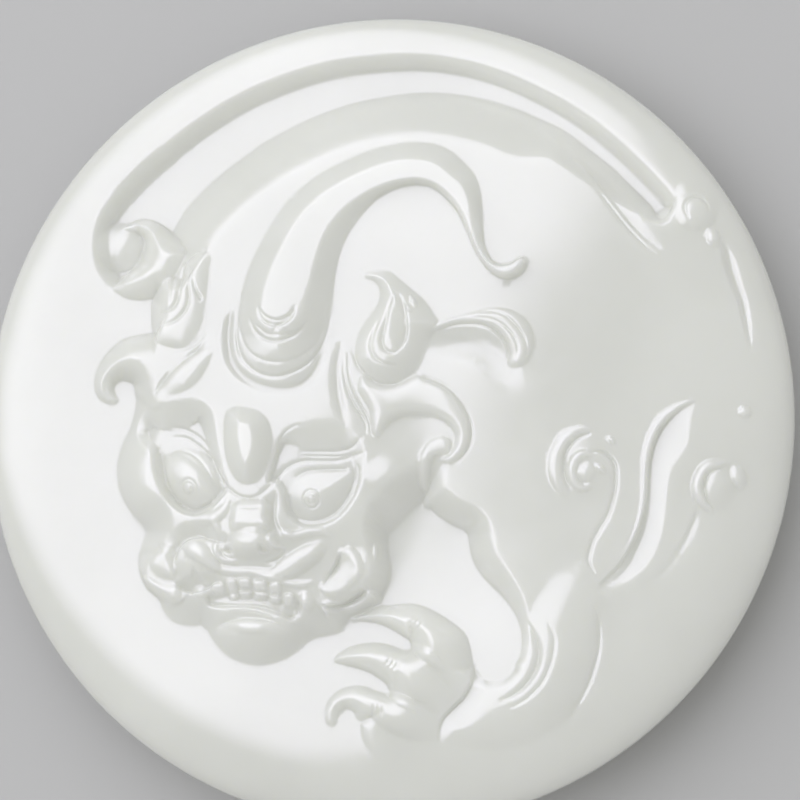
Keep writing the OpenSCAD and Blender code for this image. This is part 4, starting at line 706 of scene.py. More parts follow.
# %% Brows and eyes
lifts += [
    ("brow ridge", 59, 4.4, "flat", [
        (-37.7, -1.5), (-36.9, 0.8), (-34.6, 1.9), (-31.6, 1.5), (-28.8, 0.6), (-26.8, -1.8), (-25.8, -5),
        (-25.7, -8.5), (-26.5, -12), (-28.1, -14.9), (-30.3, -16.9), (-32.5, -17.2), (-34.6, -15.9),
        (-36.4, -13), (-37.5, -9), (-37.9, -5),
    ]),
    ("left orbit", -53, 7.5, "flat", [
        (-56.6, -8.6, 2), (-59.4, -6, 2.6), (-60.4, -3, 3), (-58.8, 0.8, 5), (-54.5, 3, 7), (-49.5, 4.1),
        (-45.4, 4.2), (-41.8, 2.6, 7), (-40.2, 0, 5), (-39.6, -4, 3.5), (-38.8, -9, 2.5), (-37.6, -14, 2),
        (-36.4, -18, 2), (-38, -20.5, 1.6), (-41.5, -23.4, 1.6), (-45, -24.6, 1.6), (-48.5, -24, 1.6),
        (-51.5, -21.6, 1.6), (-54, -18, 1.6), (-55.8, -13.5, 2),
    ]),
    ("right orbit", -28, 6.8, "flat", [
        (-26, -13, 0.8), (-25, -9.5, 0.9), (-24.2, -6.4, 2), (-22.6, -4.6, 4), (-20.5, -3.4, 6),
        (-18, -2.6, 6.6), (-15, -2.1), (-11, -2.2), (-8, -3, 6.5), (-5.4, -5, 5.5), (-3.6, -8, 4),
        (-3.2, -12, 3), (-4.2, -17.5, 1.8), (-6.5, -22, 1.6), (-9.5, -25.4, 1.6), (-13, -27.4, 1.6),
        (-17, -28, 1.6), (-20.5, -27, 1.6), (-22.8, -24.4, 1.6), (-23.6, -20, 1.6), (-25, -17, 1.2),
        (-27, -17, 0.8),
    ]),
    ("left eyeball", 19, 2.2, "round", [
        (-53, -9.5), (-50.6, -9.4), (-46.8, -10.6), (-43.6, -13.2), (-41.2, -16.4), (-39.4, -19.2),
        (-40.8, -21.2), (-44.5, -22.3), (-48, -21.6), (-50.8, -19), (-52.8, -14.4),
    ]),
    ("right eyeball", 38, 8, "round", [
        (-20.8, -16.5), (-18.5, -14.7), (-14, -13.9), (-9, -13.8), (-6.2, -14.2), (-6.8, -17.8),
        (-9, -21.8), (-12, -24.4), (-15, -25.6), (-18, -25.2), (-20.6, -23), (-21.6, -20),
    ]),
]
lines += [
    ("left socket line", "groove", [
        (-53.5, -6.5, 0.3, 3), (-55.2, -9.5, 0.6, 9), (-55, -14, 0.6, 10), (-53.5, -18, 0.6, 10),
        (-51, -21.5, 0.6, 10), (-48, -23.7, 0.6, 10), (-45, -24.2, 0.6, 10), (-42, -23.4, 0.6, 10),
        (-39.5, -21.4, 0.6, 9), (-37.8, -19.4, 0.4, 5),
    ]),
    ("right socket line", "groove", [
        (-22.6, -19, 0.4, 6), (-22.6, -22, 0.6, 10), (-21.5, -24.5, 0.6, 10), (-19.5, -26.2, 0.6, 10),
        (-17, -27, 0.6, 10), (-14, -26.8, 0.6, 10), (-11, -25.6, 0.6, 10), (-8.5, -23.3, 0.6, 10),
        (-6.5, -20.5, 0.6, 10), (-5.2, -17, 0.6, 10), (-4.8, -14, 0.5, 8), (-5, -12.8, 0.3, 4),
    ]),
    ("right socket brow", "groove", [
        (-24.6, -11, 0.3, 3), (-24.2, -7.6, 0.4, 6), (-22.8, -5, 0.4, 8), (-20.6, -3.4, 0.4, 6),
        (-18, -2.7, 0.3, 3),
    ]),
    ("left lid low", "groove", [
        (-53.9, -9, 0.5, 5), (-53.5, -12, 0.5, 8), (-52.5, -16, 0.5, 8), (-50.5, -20, 0.5, 8),
        (-48, -22, 0.5, 8), (-45, -22.7, 0.5, 8), (-41, -21.7, 0.5, 5),
    ]),
    ("left lid a", "groove", [
        (-52, -2.6, 0.3, 2), (-49.5, -2.9, 0.5, 6), (-47, -3.7, 0.6, 9), (-44, -5.6, 0.6, 9),
        (-42, -8, 0.4, 5),
    ]),
    ("left lid b", "groove", [
        (-52, -5.1, 0.3, 3), (-48, -5.3, 0.6, 9), (-45.5, -6.6, 0.6, 9), (-43, -8.6, 0.6, 9),
        (-41, -11, 0.6, 9), (-39, -14.3, 0.6, 9), (-37.3, -17.5, 0.6, 8), (-36, -18.9, 0.4, 4),
    ]),
    ("left lid c", "groove", [
        (-51, -8.3, 0.3, 3), (-47.5, -8.9, 0.5, 8), (-45, -10.2, 0.5, 8), (-43, -12.2, 0.5, 8),
        (-41.5, -14.5, 0.5, 6), (-40.3, -16.2, 0.3, 3),
    ]),
    ("right lid a", "groove", [
        (-19, -9.2, 0.3, 3), (-15, -9.3, 0.6, 9), (-10, -9.3, 0.6, 9), (-6.5, -8.3, 0.6, 8),
        (-4, -6, 0.4, 4),
    ]),
    ("right lid b", "groove", [
        (-19, -10.3, 0.3, 2), (-15, -10.4, 0.5, 8), (-10, -10.5, 0.5, 8), (-5.5, -10, 0.3, 4),
    ]),
    ("right lid c", "groove", [
        (-20.2, -15.8, 0.3, 3), (-18.5, -14.5, 0.6, 8), (-16, -13.8, 0.6, 9), (-12, -13.7, 0.6, 9),
        (-8, -13.5, 0.5, 6),
    ]),
    ("right lid low", "groove", [
        (-21.8, -20, 0.4, 5), (-21.4, -22.5, 0.5, 8), (-20, -24.8, 0.5, 8), (-18, -25.8, 0.5, 8),
        (-15, -26, 0.5, 8), (-12, -24.9, 0.5, 8), (-9.3, -22.7, 0.5, 8), (-7.2, -19.5, 0.5, 8),
        (-6, -16, 0.5, 8), (-5.8, -13.6, 0.3, 4),
    ]),
    ("mid brow line", "groove", [
        (-41.5, -11, 0.3, 3), (-39, -14.8, 0.6, 9), (-37, -17.5, 0.6, 10), (-34.5, -19.7, 0.6, 10),
        (-32, -20.5, 0.6, 10), (-30, -20.4, 0.6, 10), (-28, -19.2, 0.6, 10), (-26, -17.4, 0.6, 10),
        (-24.5, -15.5, 0.6, 10), (-22.5, -13.3, 0.6, 10), (-20, -12, 0.6, 10), (-17, -11.5, 0.6, 10),
        (-12, -11.6, 0.6, 10), (-9, -11.3, 0.6, 9), (-5.5, -10.3, 0.4, 5), (-2.6, -9.4, 0.3, 3),
    ]),
    ("left pupil ring", "groove", [
        (-48.4, -17.2, 0.4, 6), (-47.6, -16.2, 0.4, 9), (-46.5, -15.8, 0.4, 9), (-45.4, -16.2, 0.4, 9),
        (-44.6, -17.4, 0.4, 9), (-44.5, -18.8, 0.4, 6), (-45.2, -20, 0.3, 4),
    ]),
    ("left pupil", "groove", [
        (-47.9, -17.8, 0.35, 8), (-47.2, -16.8, 0.35, 8), (-46.2, -16.7, 0.35, 8), (-45.5, -17.6, 0.35, 8),
        (-45.6, -18.9, 0.35, 8), (-46.5, -19.6, 0.35, 8), (-47.5, -19.2, 0.35, 8), (-47.9, -17.8, 0.35, 8),
    ]),
    ("right pupil ring", "groove", [
        (-18.2, -20.8, 0.4, 9), (-17.8, -19.6, 0.4, 9), (-16.6, -18.8, 0.4, 9), (-15.2, -19, 0.4, 9),
        (-14.4, -20.2, 0.4, 9), (-14.4, -21.6, 0.4, 9), (-15.2, -22.8, 0.4, 9), (-16.6, -23, 0.4, 9),
        (-17.8, -22.2, 0.4, 9), (-18.2, -20.8, 0.4, 9),
    ]),
    ("right pupil", "groove", [
        (-17.3, -20.8, 0.35, 8), (-16.9, -19.9, 0.35, 8), (-16, -19.7, 0.35, 8), (-15.3, -20.4, 0.35, 8),
        (-15.3, -21.4, 0.35, 8), (-16, -22, 0.35, 8), (-16.9, -21.8, 0.35, 8), (-17.3, -20.8, 0.35, 8),
    ]),
]
knobs += [
    ("left eyeball", -45.4, -15.6, 9, 6.6, -42, 53, "dome"),
    ("left pupil dot", -46.4, -18, 1.1, 1.1, 0, 6, "ball"),
    ("right pupil dot", -16.2, -20.8, 1, 1, 0, 6, "ball"),
]
tell("brows and eyes")

# %% [markdown]
# The nose is a broad ball with two wings. Folds run from it to both cheeks and frame the upper lip. The
# mouth is open and its teeth are cut as small blocks that stand in the hollow, above a lower lip and a
# rounded chin. A tuft of whiskers lies under the right cheek.

# %% Nose, cheeks and mouth
lifts += [
    ("mouth", -28, 6, "flat", [
        (-43, -42.8, 2), (-41, -41, 4), (-38, -40.2, 5), (-34, -39.9), (-29, -40.2), (-24.5, -41.6, 5),
        (-21, -43.2, 4), (-18.6, -45.6, 1.6), (-19.4, -49, 1), (-22, -50.2, 0.9), (-25, -49, 0.9),
        (-28.5, -47.9, 0.9), (-33, -47.2, 0.9), (-38, -47.2, 0.9), (-42, -46.6, 0.9), (-43.4, -44.6, 1.2),
    ]),
    ("chin", 22, 6, "soft", [
        (-42, -52), (-36, -47.6), (-30, -47), (-24, -48.5), (-20, -51), (-20, -55), (-25, -59),
        (-31, -60.3), (-37, -58.5), (-41, -55),
    ]),
    ("cheek drop", 19, 1.6, "round", [
        (-9.7, -33.6), (-8.4, -32.6), (-6.6, -32.5), (-4.9, -34), (-3.8, -37), (-4.2, -39.8), (-6.5, -42.1),
        (-9, -43.8), (-11.5, -44.4), (-13.8, -43.8), (-14.5, -42.4), (-13, -40), (-11, -38), (-10, -36),
    ]),
    ("whisker", 25, 1.8, "round", [
        (-14.4, -47.2), (-13.8, -45.8), (-12, -45.2), (-9, -45.6), (-6, -44.7), (-3.5, -43.2),
        (-1.6, -42.6), (-1, -44), (-2.2, -45.8), (-5, -47.2), (-8.5, -48.4), (-12, -48.9), (-13.8, -48.6),
    ]),
]
lines += [
    ("nose bridge", "bar", [
        (-30.8, -20.9, 3.4, 3), (-30.8, -22.4, 5, 25), (-31, -25, 5.2, 38), (-31.1, -27, 5.2, 38),
        (-31.3, -29.2, 5, 6),
    ]),
    ("muzzle fold left", "round", [
        (-46.5, -25.9, 0.8, 3), (-44, -25.6, 1.3, 12), (-41, -25.3, 1.6, 18), (-38.8, -24.3, 1.6, 18),
        (-37.2, -22.6, 1.2, 12), (-36.6, -20.9, 0.8, 3),
    ]),
    ("muzzle fold left low", "round", [
        (-40.4, -25.8, 1.2, 6), (-39.6, -27.2, 1.2, 14), (-39, -29, 0.9, 3),
    ]),
    ("muzzle fold right", "shelf", [
        (-24.8, -18.6, 0.8, 2), (-24.7, -20.6, 2.8, 15), (-24.9, -23, 3.2, 19), (-25, -25.4, 3.2, 20),
        (-24.2, -27.6, 2.2, 16), (-22.4, -29.2, 0.8, 3),
    ]),
    ("muzzle fold right low", "round", [
        (-24, -28, 0.6, 5), (-22.4, -29.3, 1, 15), (-20, -29.6, 1.1, 16), (-17, -28.8, 1, 14),
        (-14, -28.7, 0.9, 12), (-12, -29.4, 0.6, 3),
    ]),
    ("left wing", "round", [
        (-39.9, -31, 0.7, 5), (-39.8, -32.8, 0.9, 15), (-39, -34.5, 0.9, 16), (-37.5, -35.6, 0.9, 16),
        (-35, -36, 0.7, 5),
    ]),
    ("left wing fold", "round", [
        (-38, -32.8, 0.6, 6), (-37.2, -33.8, 0.8, 12), (-35.9, -34.3, 0.6, 6),
    ]),
    ("right wing", "round", [
        (-24.6, -28.9, 0.6, 4), (-25.8, -29.6, 0.8, 15), (-26, -31, 0.9, 16), (-25, -32.3, 0.9, 15),
        (-23, -32.7, 0.6, 4),
    ]),
    ("right wing spots", "round", [
        (-27, -25.6, 0.4, 3), (-27.1, -26.6, 0.8, 12), (-26.6, -27.8, 0.7, 10), (-25.6, -28.4, 0.4, 3),
    ]),
    ("right wing low", "groove", [
        (-22.8, -33.2, 0.4, 6), (-23.4, -34.6, 0.6, 12), (-25.4, -35.8, 0.6, 12), (-27.6, -36.2, 0.4, 6),
    ]),
    ("left nostril", "cove", [
        (-38, -33.6, 0.8, 6), (-36.8, -33.2, 1.2, 22), (-35.6, -33.6, 0.8, 6),
    ]),
    ("right nostril", "cove", [
        (-28.6, -32, 0.6, 12), (-28.2, -33, 1, 22), (-27, -33.6, 0.8, 12),
    ]),
    ("bridge line", "groove", [
        (-33.6, -22.9, 0.3, 4), (-31, -23.1, 0.4, 9), (-28.4, -22.9, 0.3, 4),
    ]),
    ("lip side left", "shelf", [
        (-38.5, -40.4, 0.8, 3), (-40.5, -41.2, 3, 19), (-43.2, -42.8, 6, 39), (-46.5, -43.2, 6.5, 39),
        (-49, -42.2, 4, 25), (-50.5, -41, 1, 3),
    ]),
    ("lip", "round", [
        (-48, -31, 1, 3), (-46.4, -31.8, 2.2, 19), (-44.4, -33, 2.6, 25), (-42, -35.2, 2, 22),
        (-39.4, -37.2, 1.4, 18), (-36, -38.2, 1.1, 15), (-30, -38.4, 1.1, 15), (-26, -39, 1.6, 19),
        (-22.6, -37.8, 2.6, 25), (-19, -35.6, 2.8, 28), (-16, -33.8, 2.4, 25), (-13.8, -32, 1.4, 3),
    ]),
    ("lip low line", "round", [
        (-31, -38.6, 0.6, 2), (-28, -39.6, 0.8, 10), (-25, -40.4, 0.9, 12), (-21.5, -41.3, 0.9, 12),
        (-18.8, -41.5, 0.9, 11), (-16, -41, 0.6, 2),
    ]),
    ("lip line a", "round", [
        (-41.4, -45.3, 0.3, 3), (-39, -45.6, 0.5, 9), (-35, -45.8, 0.5, 10), (-30, -46, 0.5, 10),
        (-27, -46.7, 0.5, 9), (-25, -47.8, 0.3, 3),
    ]),
    ("lip line b", "round", [
        (-38, -46.6, 0.3, 3), (-35.5, -47.1, 0.5, 10), (-31.5, -47.2, 0.5, 11), (-28.5, -48, 0.5, 10),
        (-25.5, -49.6, 0.3, 3),
    ]),
    ("chin crown", "round", [
        (-36.5, -51.4, 1, 3), (-34, -51.5, 1.7, 14), (-31.5, -51.7, 1.8, 16), (-29, -51.8, 1.6, 14),
        (-27, -51.9, 1, 3),
    ]),
    ("chin hollow", "shelf", [
        (-24, -51.6, 0.8, 3), (-26.5, -50.6, 2.4, 18), (-30, -50, 3, 21), (-34, -49.9, 3, 21),
        (-37, -50.4, 2.4, 18), (-40, -51.6, 0.8, 3),
    ]),
    ("cheek spark", "round", [
        (-1.2, -31.4, 0.3, 4), (-1, -33.4, 0.6, 22), (-1.1, -36, 0.3, 4),
    ]),
    ("drop hollow", "shelf", [
        (-14.4, -42.8, 1.5, 4), (-12.8, -40.2, 5, 21), (-10.9, -37, 6.2, 26), (-9.8, -34.8, 5.2, 22),
        (-8.6, -32.8, 1.5, 4),
    ]),
]
knobs += [
    ("nose tip", -30.6, -31.6, 6.6, 3.9, 0, 39, "dome"),
    ("muzzle swell", -31, -30, 13, 9.5, 0, 28, "soft"),
    ("left lip ball", -44.6, -35.6, 6, 5.6, 0, 26, "dome"),
    ("left fang", -44.2, -42.8, 1.9, 1.5, 0, 22, "dome"),
    ("right fang", -17.8, -45.6, 1.8, 2.6, 15, 22, "dome"),
    ("right fang tip", -20.7, -49, 0.8, 1.5, 0, 12, "dome"),
]

# Teeth: middle x, y, half width and half height
for x, y, half_wide, half_high in (
    (-39.6, -42.4, 1.4, 1.2), (-36, -41.7, 1.1, 1.5), (-32.9, -41.2, 1.5, 1.2), (-29.2, -41.7, 1.5, 1.2),
    (-25.4, -42.4, 1.3, 1.3), (-35.9, -44.4, 1, 0.8), (-32.9, -43.8, 1.5, 0.8), (-29.2, -44.3, 1.5, 0.8),
    (-25.6, -45.1, 1.3, 0.8), (-22.2, -45.4, 1.2, 1.5),
):
    block = [(-1, 1), (1, 1), (0.9, -0.9), (0, -1), (-0.9, -0.9)]
    outline = [(x + u * half_wide, y + v * half_high) for u, v in block]
    lifts.append(("tooth", 20, 0.7, "round", outline))
tell("nose, cheeks and mouth")

# %% [markdown]
# Now the carving is put together. The ground is deepest in the middle of the disc and rises to the rim,
# and it is shallower toward the hind leg at the lower right. The masses stand on it by the highest of
# them, so that they run into one another like limbs, and everything else is added on top. At the end the
# height is blurred by about a tenth of a millimetre, because a polished edge is never sharp.

# %% Put the relief together
GROUND_IN, GROUND_OUT = 52, 97
GROUND_X, GROUND_Y = -2, 8
# The ground's depth is cut by the share LEE on the side of LEE_WAY, from LEE_START on
LEE, LEE_START, LEE_WIDTH = 0.55, 30, 50
LEE_WAY = (0.82, -0.57)

base = np.zeros_like(GX)
for name, height, width, profile, rows in masses:
    add_mass(base, height / HUNDRED, width, profile, rows, keep_highest=True)
ground_r = np.hypot(GX - GROUND_X, GY - GROUND_Y)
lee = 1 - LEE * smooth((LEE_WAY[0] * GX + LEE_WAY[1] * GY - LEE_START) / LEE_WIDTH)
depth = HUNDRED * lee * (1 - smooth((ground_r - GROUND_IN) / (GROUND_OUT - GROUND_IN)))
for name, height, width, profile, rows in deeper:
    add_mass(depth, height, width, profile, rows)
relief = -depth * (1 - base)
for name, height, width, profile, rows in lifts:
    add_mass(relief, height, width, profile, rows)
horn = np.zeros_like(GX)
for name, height, width, profile, rows in horn_parts:
    add_mass(horn, height, width, profile, rows, keep_highest=True)
relief += horn
for name, profile, rows in lines:
    add_line(relief, profile, rows)
for row in knobs:
    add_knob(relief, *row[1:])


def blur(field):
    """Binomial blur over three cells each way."""
    field = np.pad(field, 1, mode="edge")
    field = (field[:-2] + 2 * field[1:-1] + field[2:]) / 4
    return (field[:, :-2] + 2 * field[:, 1:-1] + field[:, 2:]) / 4


relief = blur(relief) * (RELIEF / HUNDRED)
headroom = TOP - HALF - HALF * bulge(GR / HUNDRED)
relief = np.minimum(relief, headroom)
print(f"{len(masses)} masses, {len(lifts)} lifts, {len(lines)} lines, {len(knobs)} knobs;"
      f" carved from {relief.min() / MM:.2f} to {relief.max() / MM:.2f} mm")

# %% [markdown]
# A sheet fine enough for the eyelids would need a million faces all over. So the sheet is fine only where
# the slope changes fast: cells are split in four until the slope turns by less than a set amount across
# one. The corners of the cells are joined by Blender's own Delaunay triangulation, and rings of points
# carry the sheet over the rim and round to the back, where one plain face closes it.

# %% Where the sheet is fine
CARVE_END = 0.96
BIGGEST = 8
POINT_BUDGET = 82000
RING_POINTS = 480
LEAST_TURN, MOST_TURN, TRIES = 0.02, 1.5, 14
cell_size = CELL / HUNDRED * DISC_R

bend = np.zeros_like(relief)
bend[1:-1] = np.abs(relief[2:] - 2 * relief[1:-1] + relief[:-2])
bend[:, 1:-1] = np.maximum(bend[:, 1:-1], np.abs(relief[:, 2:] - 2 * relief[:, 1:-1] + relief[:, :-2]))
bend /= cell_size
blocks = (len(ticks) - 1) // BIGGEST


def block_max(size):
    """Largest bend in each block of size x size cells."""
    n = blocks * BIGGEST
    return bend[:n, :n].reshape(n // size, size, n // size, size).max((1, 3))


def sheet_points(turn):
    """Grid corners kept when no cell may turn by more than this slope."""
    keep = np.zeros(GX.shape, bool)
    n = blocks * BIGGEST
    keep[: n + 1 : BIGGEST, : n + 1 : BIGGEST] = True
    size = BIGGEST // 2
    while size >= 1:
        coarse = block_max(size * 2) * size * 2 > turn
        fine = np.repeat(np.repeat(coarse, 2, 0), 2, 1)
        for dy in (0, 1):
            for dx in (0, 1):
                part = keep[dy * size : n + dy * size : size, dx * size : n + dx * size : size]
                part |= fine[: part.shape[0], : part.shape[1]]
        size //= 2
    return keep & (GR < HUNDRED * CARVE_END - BIGGEST * CELL / 3)


low, high = LEAST_TURN, MOST_TURN
for _ in range(TRIES):
    turn = math.sqrt(low * high)
    keep = sheet_points(turn)
    low, high = (turn, high) if keep.sum() > POINT_BUDGET else (low, turn)
keep = sheet_points(high)
print(f"{keep.sum()} points, a cell turns by {math.degrees(math.atan(high)):.1f} degrees at most")

# %% Join the points into one closed sheet
OVER_RIM = 8
UNDER_RIM = (0.05, 0.12, 0.2, 0.3, 0.4, 0.5, 0.6, 0.7, 0.79, 0.87, 0.94, 1)
angles = np.arange(RING_POINTS) * 2 * math.pi / RING_POINTS
circle = np.stack([np.cos(angles), np.sin(angles)], 1)
flat = np.stack([GX[keep], GY[keep]], 1) / HUNDRED
flat = np.vstack([circle * CARVE_END, flat])
rim_edges = [(i, (i + 1) % RING_POINTS) for i in range(RING_POINTS)]
points, _, triangles, *_ = delaunay_2d_cdt([Vector(p) for p in flat.tolist()], rim_edges, [], 0, 1e-9)
plan = np.array([tuple(p) for p in points])
print(f"{len(plan)} points and {len(triangles)} triangles on the face")

# Rings over the rim and round to the back, each at a share of the height of its section
rim_height = float(bulge(np.array(CARVE_END)))
flat_height = float(bulge(np.array(BACK_FLAT)))
over = [(rim_height * (1 - k / OVER_RIM), 1) for k in range(1, OVER_RIM + 1)]
under = [(flat_height * share, -1) for share in UNDER_RIM]
rings = [((1 - b**RIM_POWER) ** (1 / RIM_POWER), side) for b, side in over + under]

ring = list(range(RING_POINTS))
xy = [plan]
side = [np.ones(len(plan))]
faces = [tuple(t) for t in triangles]
count = len(plan)
for radius, half in rings:
    new = list(range(count, count + RING_POINTS))
    xy.append(circle * radius)
    side.append(np.full(RING_POINTS, float(half)))
    after = [(i + 1) % RING_POINTS for i in range(RING_POINTS)]
    faces += [(ring[i], new[i], new[j], ring[j]) for i, j in enumerate(after)]
    ring, count = new, count + RING_POINTS
faces.append(tuple(reversed(ring)))
xy, side = np.vstack(xy), np.concatenate(side)


def height_at(x, y):
    """The relief between the grid's points."""
    fx = np.clip((x * HUNDRED - ticks[0]) / CELL, 0, len(ticks) - 1.001)
    fy = np.clip((y * HUNDRED - ticks[0]) / CELL, 0, len(ticks) - 1.001)
    i, j = fx.astype(int), fy.astype(int)
    fx, fy = fx - i, fy - j
    below = relief[j, i] * (1 - fx) + relief[j, i + 1] * fx
    above = relief[j + 1, i] * (1 - fx) + relief[j + 1, i + 1] * fx
    return below * (1 - fy) + above * fy


sheet = bpy.data.meshes.new("stone_sheet")
sheet.from_pydata(np.column_stack([xy * DISC_R, np.zeros(len(xy))]).tolist(), [], faces)
carved = np.where(side > 0, height_at(xy[:, 0], xy[:, 1]), 0) * (np.hypot(*xy.T) < 0.999)
sheet.attributes.new("relief", "FLOAT", "POINT").data.foreach_set("value", carved.astype(np.float32))
sheet.attributes.new("side", "FLOAT", "POINT").data.foreach_set("value", side.astype(np.float32))
sheet_object = bpy.data.objects.new("stone_sheet", sheet)
bpy.context.scene.collection.objects.link(sheet_object)
print(f"sheet of {len(xy)} points and {len(faces)} faces")

# %% [markdown]
# The flat sheet becomes a stone in Geometry Nodes. The tree knows the rule of the blank, so its radius,
# thickness and squareness are inputs that can be turned like knobs, and the carving rides on whatever
# blank comes out. The same tree drills the hidden cord tunnel: two slanting bores that start side by side
# on the back and meet inside the stone, which leaves the face whole.


# %% The tree that lifts the sheet
TUNNEL_R, TUNNEL_SPAN, TUNNEL_PLACE = 0.9 * MM, 8 * MM, 0.75
PAST_MOUTH = 2 * MM
BORE_SIDES, BORE_TURN = 32, 135


def new_material(name):
    material = bpy.data.materials.new(name)
    material.use_nodes = True
    return material, material.node_tree.nodes, material.node_tree.links


jade, jade_nodes, jade_links = new_material("polished_jade")

tree = bpy.data.node_groups.new("stone_from_sheet", "GeometryNodeTree")
inputs = {}


def tree_input(name, kind, value=None):
    socket = tree.interface.new_socket(name, in_out="INPUT", socket_type=kind)
    inputs[name] = (socket.identifier, value)


tree_input("Geometry", "NodeSocketGeometry")
tree_input("Disc radius", "NodeSocketFloat", DISC_R)
tree_input("Half thickness", "NodeSocketFloat", HALF)
tree_input("Rim power", "NodeSocketFloat", RIM_POWER)
tree_input("Back flat", "NodeSocketFloat", BACK_FLAT)
tree_input("Relief scale", "NodeSocketFloat", 1.0)
tree_input("Tunnel radius", "NodeSocketFloat", TUNNEL_R)
tree_input("Tunnel span", "NodeSocketFloat", TUNNEL_SPAN)
tree_input("Tunnel place", "NodeSocketFloat", TUNNEL_PLACE)
tree_input("Stone", "NodeSocketMaterial", jade)
tree.interface.new_socket("Geometry", in_out="OUTPUT", socket_type="NodeSocketGeometry")
group_in = tree.nodes.new("NodeGroupInput")
group_out = tree.nodes.new("NodeGroupOutput")


def given(name):
    return group_in.outputs[name]


def feed(socket, value):
    if isinstance(value, bpy.types.NodeSocket):
        tree.links.new(value, socket)
    else:
        socket.default_value = value


def maths(operation, *values):
    node = tree.nodes.new("ShaderNodeMath")
    node.operation = operation
    for socket, value in zip(node.inputs, values):
        feed(socket, value)
    return node.outputs[0]


def stored(name):
    node = tree.nodes.new("GeometryNodeInputNamedAttribute")
    node.data_type = "FLOAT"
    node.inputs["Name"].default_value = name
    return node.outputs["Attribute"]


def bulge_nodes(share):
    """The superellipse again, as nodes."""
    power = given("Rim power")
    rest = maths("MAXIMUM", maths("SUBTRACT", 1.0, maths("POWER", share, power)), 0.0)
    return maths("POWER", rest, maths("DIVIDE", 1.0, power))


def joined(x, y, z):
    node = tree.nodes.new("ShaderNodeCombineXYZ")
    for socket, value in zip(node.inputs, (x, y, z)):
        feed(socket, value)
    return node.outputs[0]


place = tree.nodes.new("ShaderNodeSeparateXYZ")
tree.links.new(tree.nodes.new("GeometryNodeInputPosition").outputs[0], place.inputs[0])
x, y = place.outputs[0], place.outputs[1]
away = maths("SQRT", maths("ADD", maths("MULTIPLY", x, x), maths("MULTIPLY", y, y)))
share = maths("MINIMUM", maths("DIVIDE", away, given("Disc radius")), 1.0)
crown = bulge_nodes(share)
half = given("Half thickness")
carving = maths("MULTIPLY", stored("relief"), given("Relief scale"))
face_z = maths("ADD", maths("MULTIPLY_ADD", half, crown, half), carving)
back_drop = maths("MINIMUM", maths("DIVIDE", crown, bulge_nodes(given("Back flat"))), 1.0)
back_z = maths("SUBTRACT", half, maths("MULTIPLY", half, back_drop))
is_face = maths("GREATER_THAN", stored("side"), 0.0)
is_back = maths("SUBTRACT", 1.0, is_face)
z = maths("ADD", maths("MULTIPLY", face_z, is_face), maths("MULTIPLY", back_z, is_back))
lift = tree.nodes.new("GeometryNodeSetPosition")
feed(lift.inputs["Geometry"], given("Geometry"))
feed(lift.inputs["Position"], joined(x, y, z))

# The two bores, each a long cylinder from the meeting point out past the back
tunnel_share = maths("DIVIDE", bulge_nodes(given("Tunnel place")), bulge_nodes(given("Back flat")))
mouth_z = maths("SUBTRACT", half, maths("MULTIPLY", half, tunnel_share))
half_span = maths("MULTIPLY", given("Tunnel span"), 0.5)
tunnel_y = maths("MULTIPLY", given("Tunnel place"), given("Disc radius"))
leg_length = maths("MULTIPLY_ADD", half_span, math.sqrt(2), PAST_MOUTH)
drill = tree.nodes.new("GeometryNodeMeshBoolean")
drill.operation = "DIFFERENCE"
drill.solver = "MANIFOLD"
tree.links.new(lift.outputs[0], drill.inputs["Mesh 1"])
for turn in (BORE_TURN, -BORE_TURN):
    bore = tree.nodes.new("GeometryNodeMeshCylinder")
    bore.inputs["Vertices"].default_value = BORE_SIDES
    feed(bore.inputs["Radius"], given("Tunnel radius"))
    feed(bore.inputs["Depth"], leg_length)
    stand = tree.nodes.new("GeometryNodeTransform")
    tree.links.new(bore.outputs["Mesh"], stand.inputs["Geometry"])
    feed(stand.inputs["Translation"], joined(0.0, 0.0, maths("MULTIPLY", leg_length, 0.5)))
    lean = tree.nodes.new("GeometryNodeTransform")
    tree.links.new(stand.outputs[0], lean.inputs["Geometry"])
    lean.inputs["Rotation"].default_value = (0, math.radians(turn), 0)
    feed(lean.inputs["Translation"], joined(0.0, tunnel_y, maths("ADD", mouth_z, half_span)))
    tree.links.new(lean.outputs[0], drill.inputs["Mesh 2"])

shade_smooth = tree.nodes.new("GeometryNodeSetShadeSmooth")
tree.links.new(drill.outputs["Mesh"], shade_smooth.inputs["Geometry"])
real = tree.nodes.new("GeometryNodeRealizeInstances")
tree.links.new(shade_smooth.outputs[0], real.inputs["Geometry"])
finish_nodes = tree.nodes.new("GeometryNodeSetMaterial")
tree.links.new(real.outputs[0], finish_nodes.inputs["Geometry"])
feed(finish_nodes.inputs["Material"], given("Stone"))
tree.links.new(finish_nodes.outputs[0], group_out.inputs[0])

# %% Lift the sheet and keep the plain mesh
modifier = sheet_object.modifiers.new("stone", "NODES")
modifier.node_group = tree
for identifier, value in inputs.values():
    if value is not None:
        modifier[identifier] = value
evaluated = sheet_object.evaluated_get(bpy.context.evaluated_depsgraph_get())
stone_mesh = bpy.data.meshes.new_from_object(evaluated)
stone_mesh.name = "carved_stone"
bpy.data.objects.remove(sheet_object)
stone = bpy.data.objects.new("carved_stone", stone_mesh)
bpy.context.scene.collection.objects.link(stone)
stone_mesh.calc_loop_triangles()
corners = np.empty(len(stone_mesh.vertices) * 3)
stone_mesh.vertices.foreach_get("co", corners)
corners = corners.reshape(-1, 3)
print(f"stone of {len(stone_mesh.loop_triangles)} triangles")
print(f"from {corners.min(0) / MM} to {corners.max(0) / MM} mm")

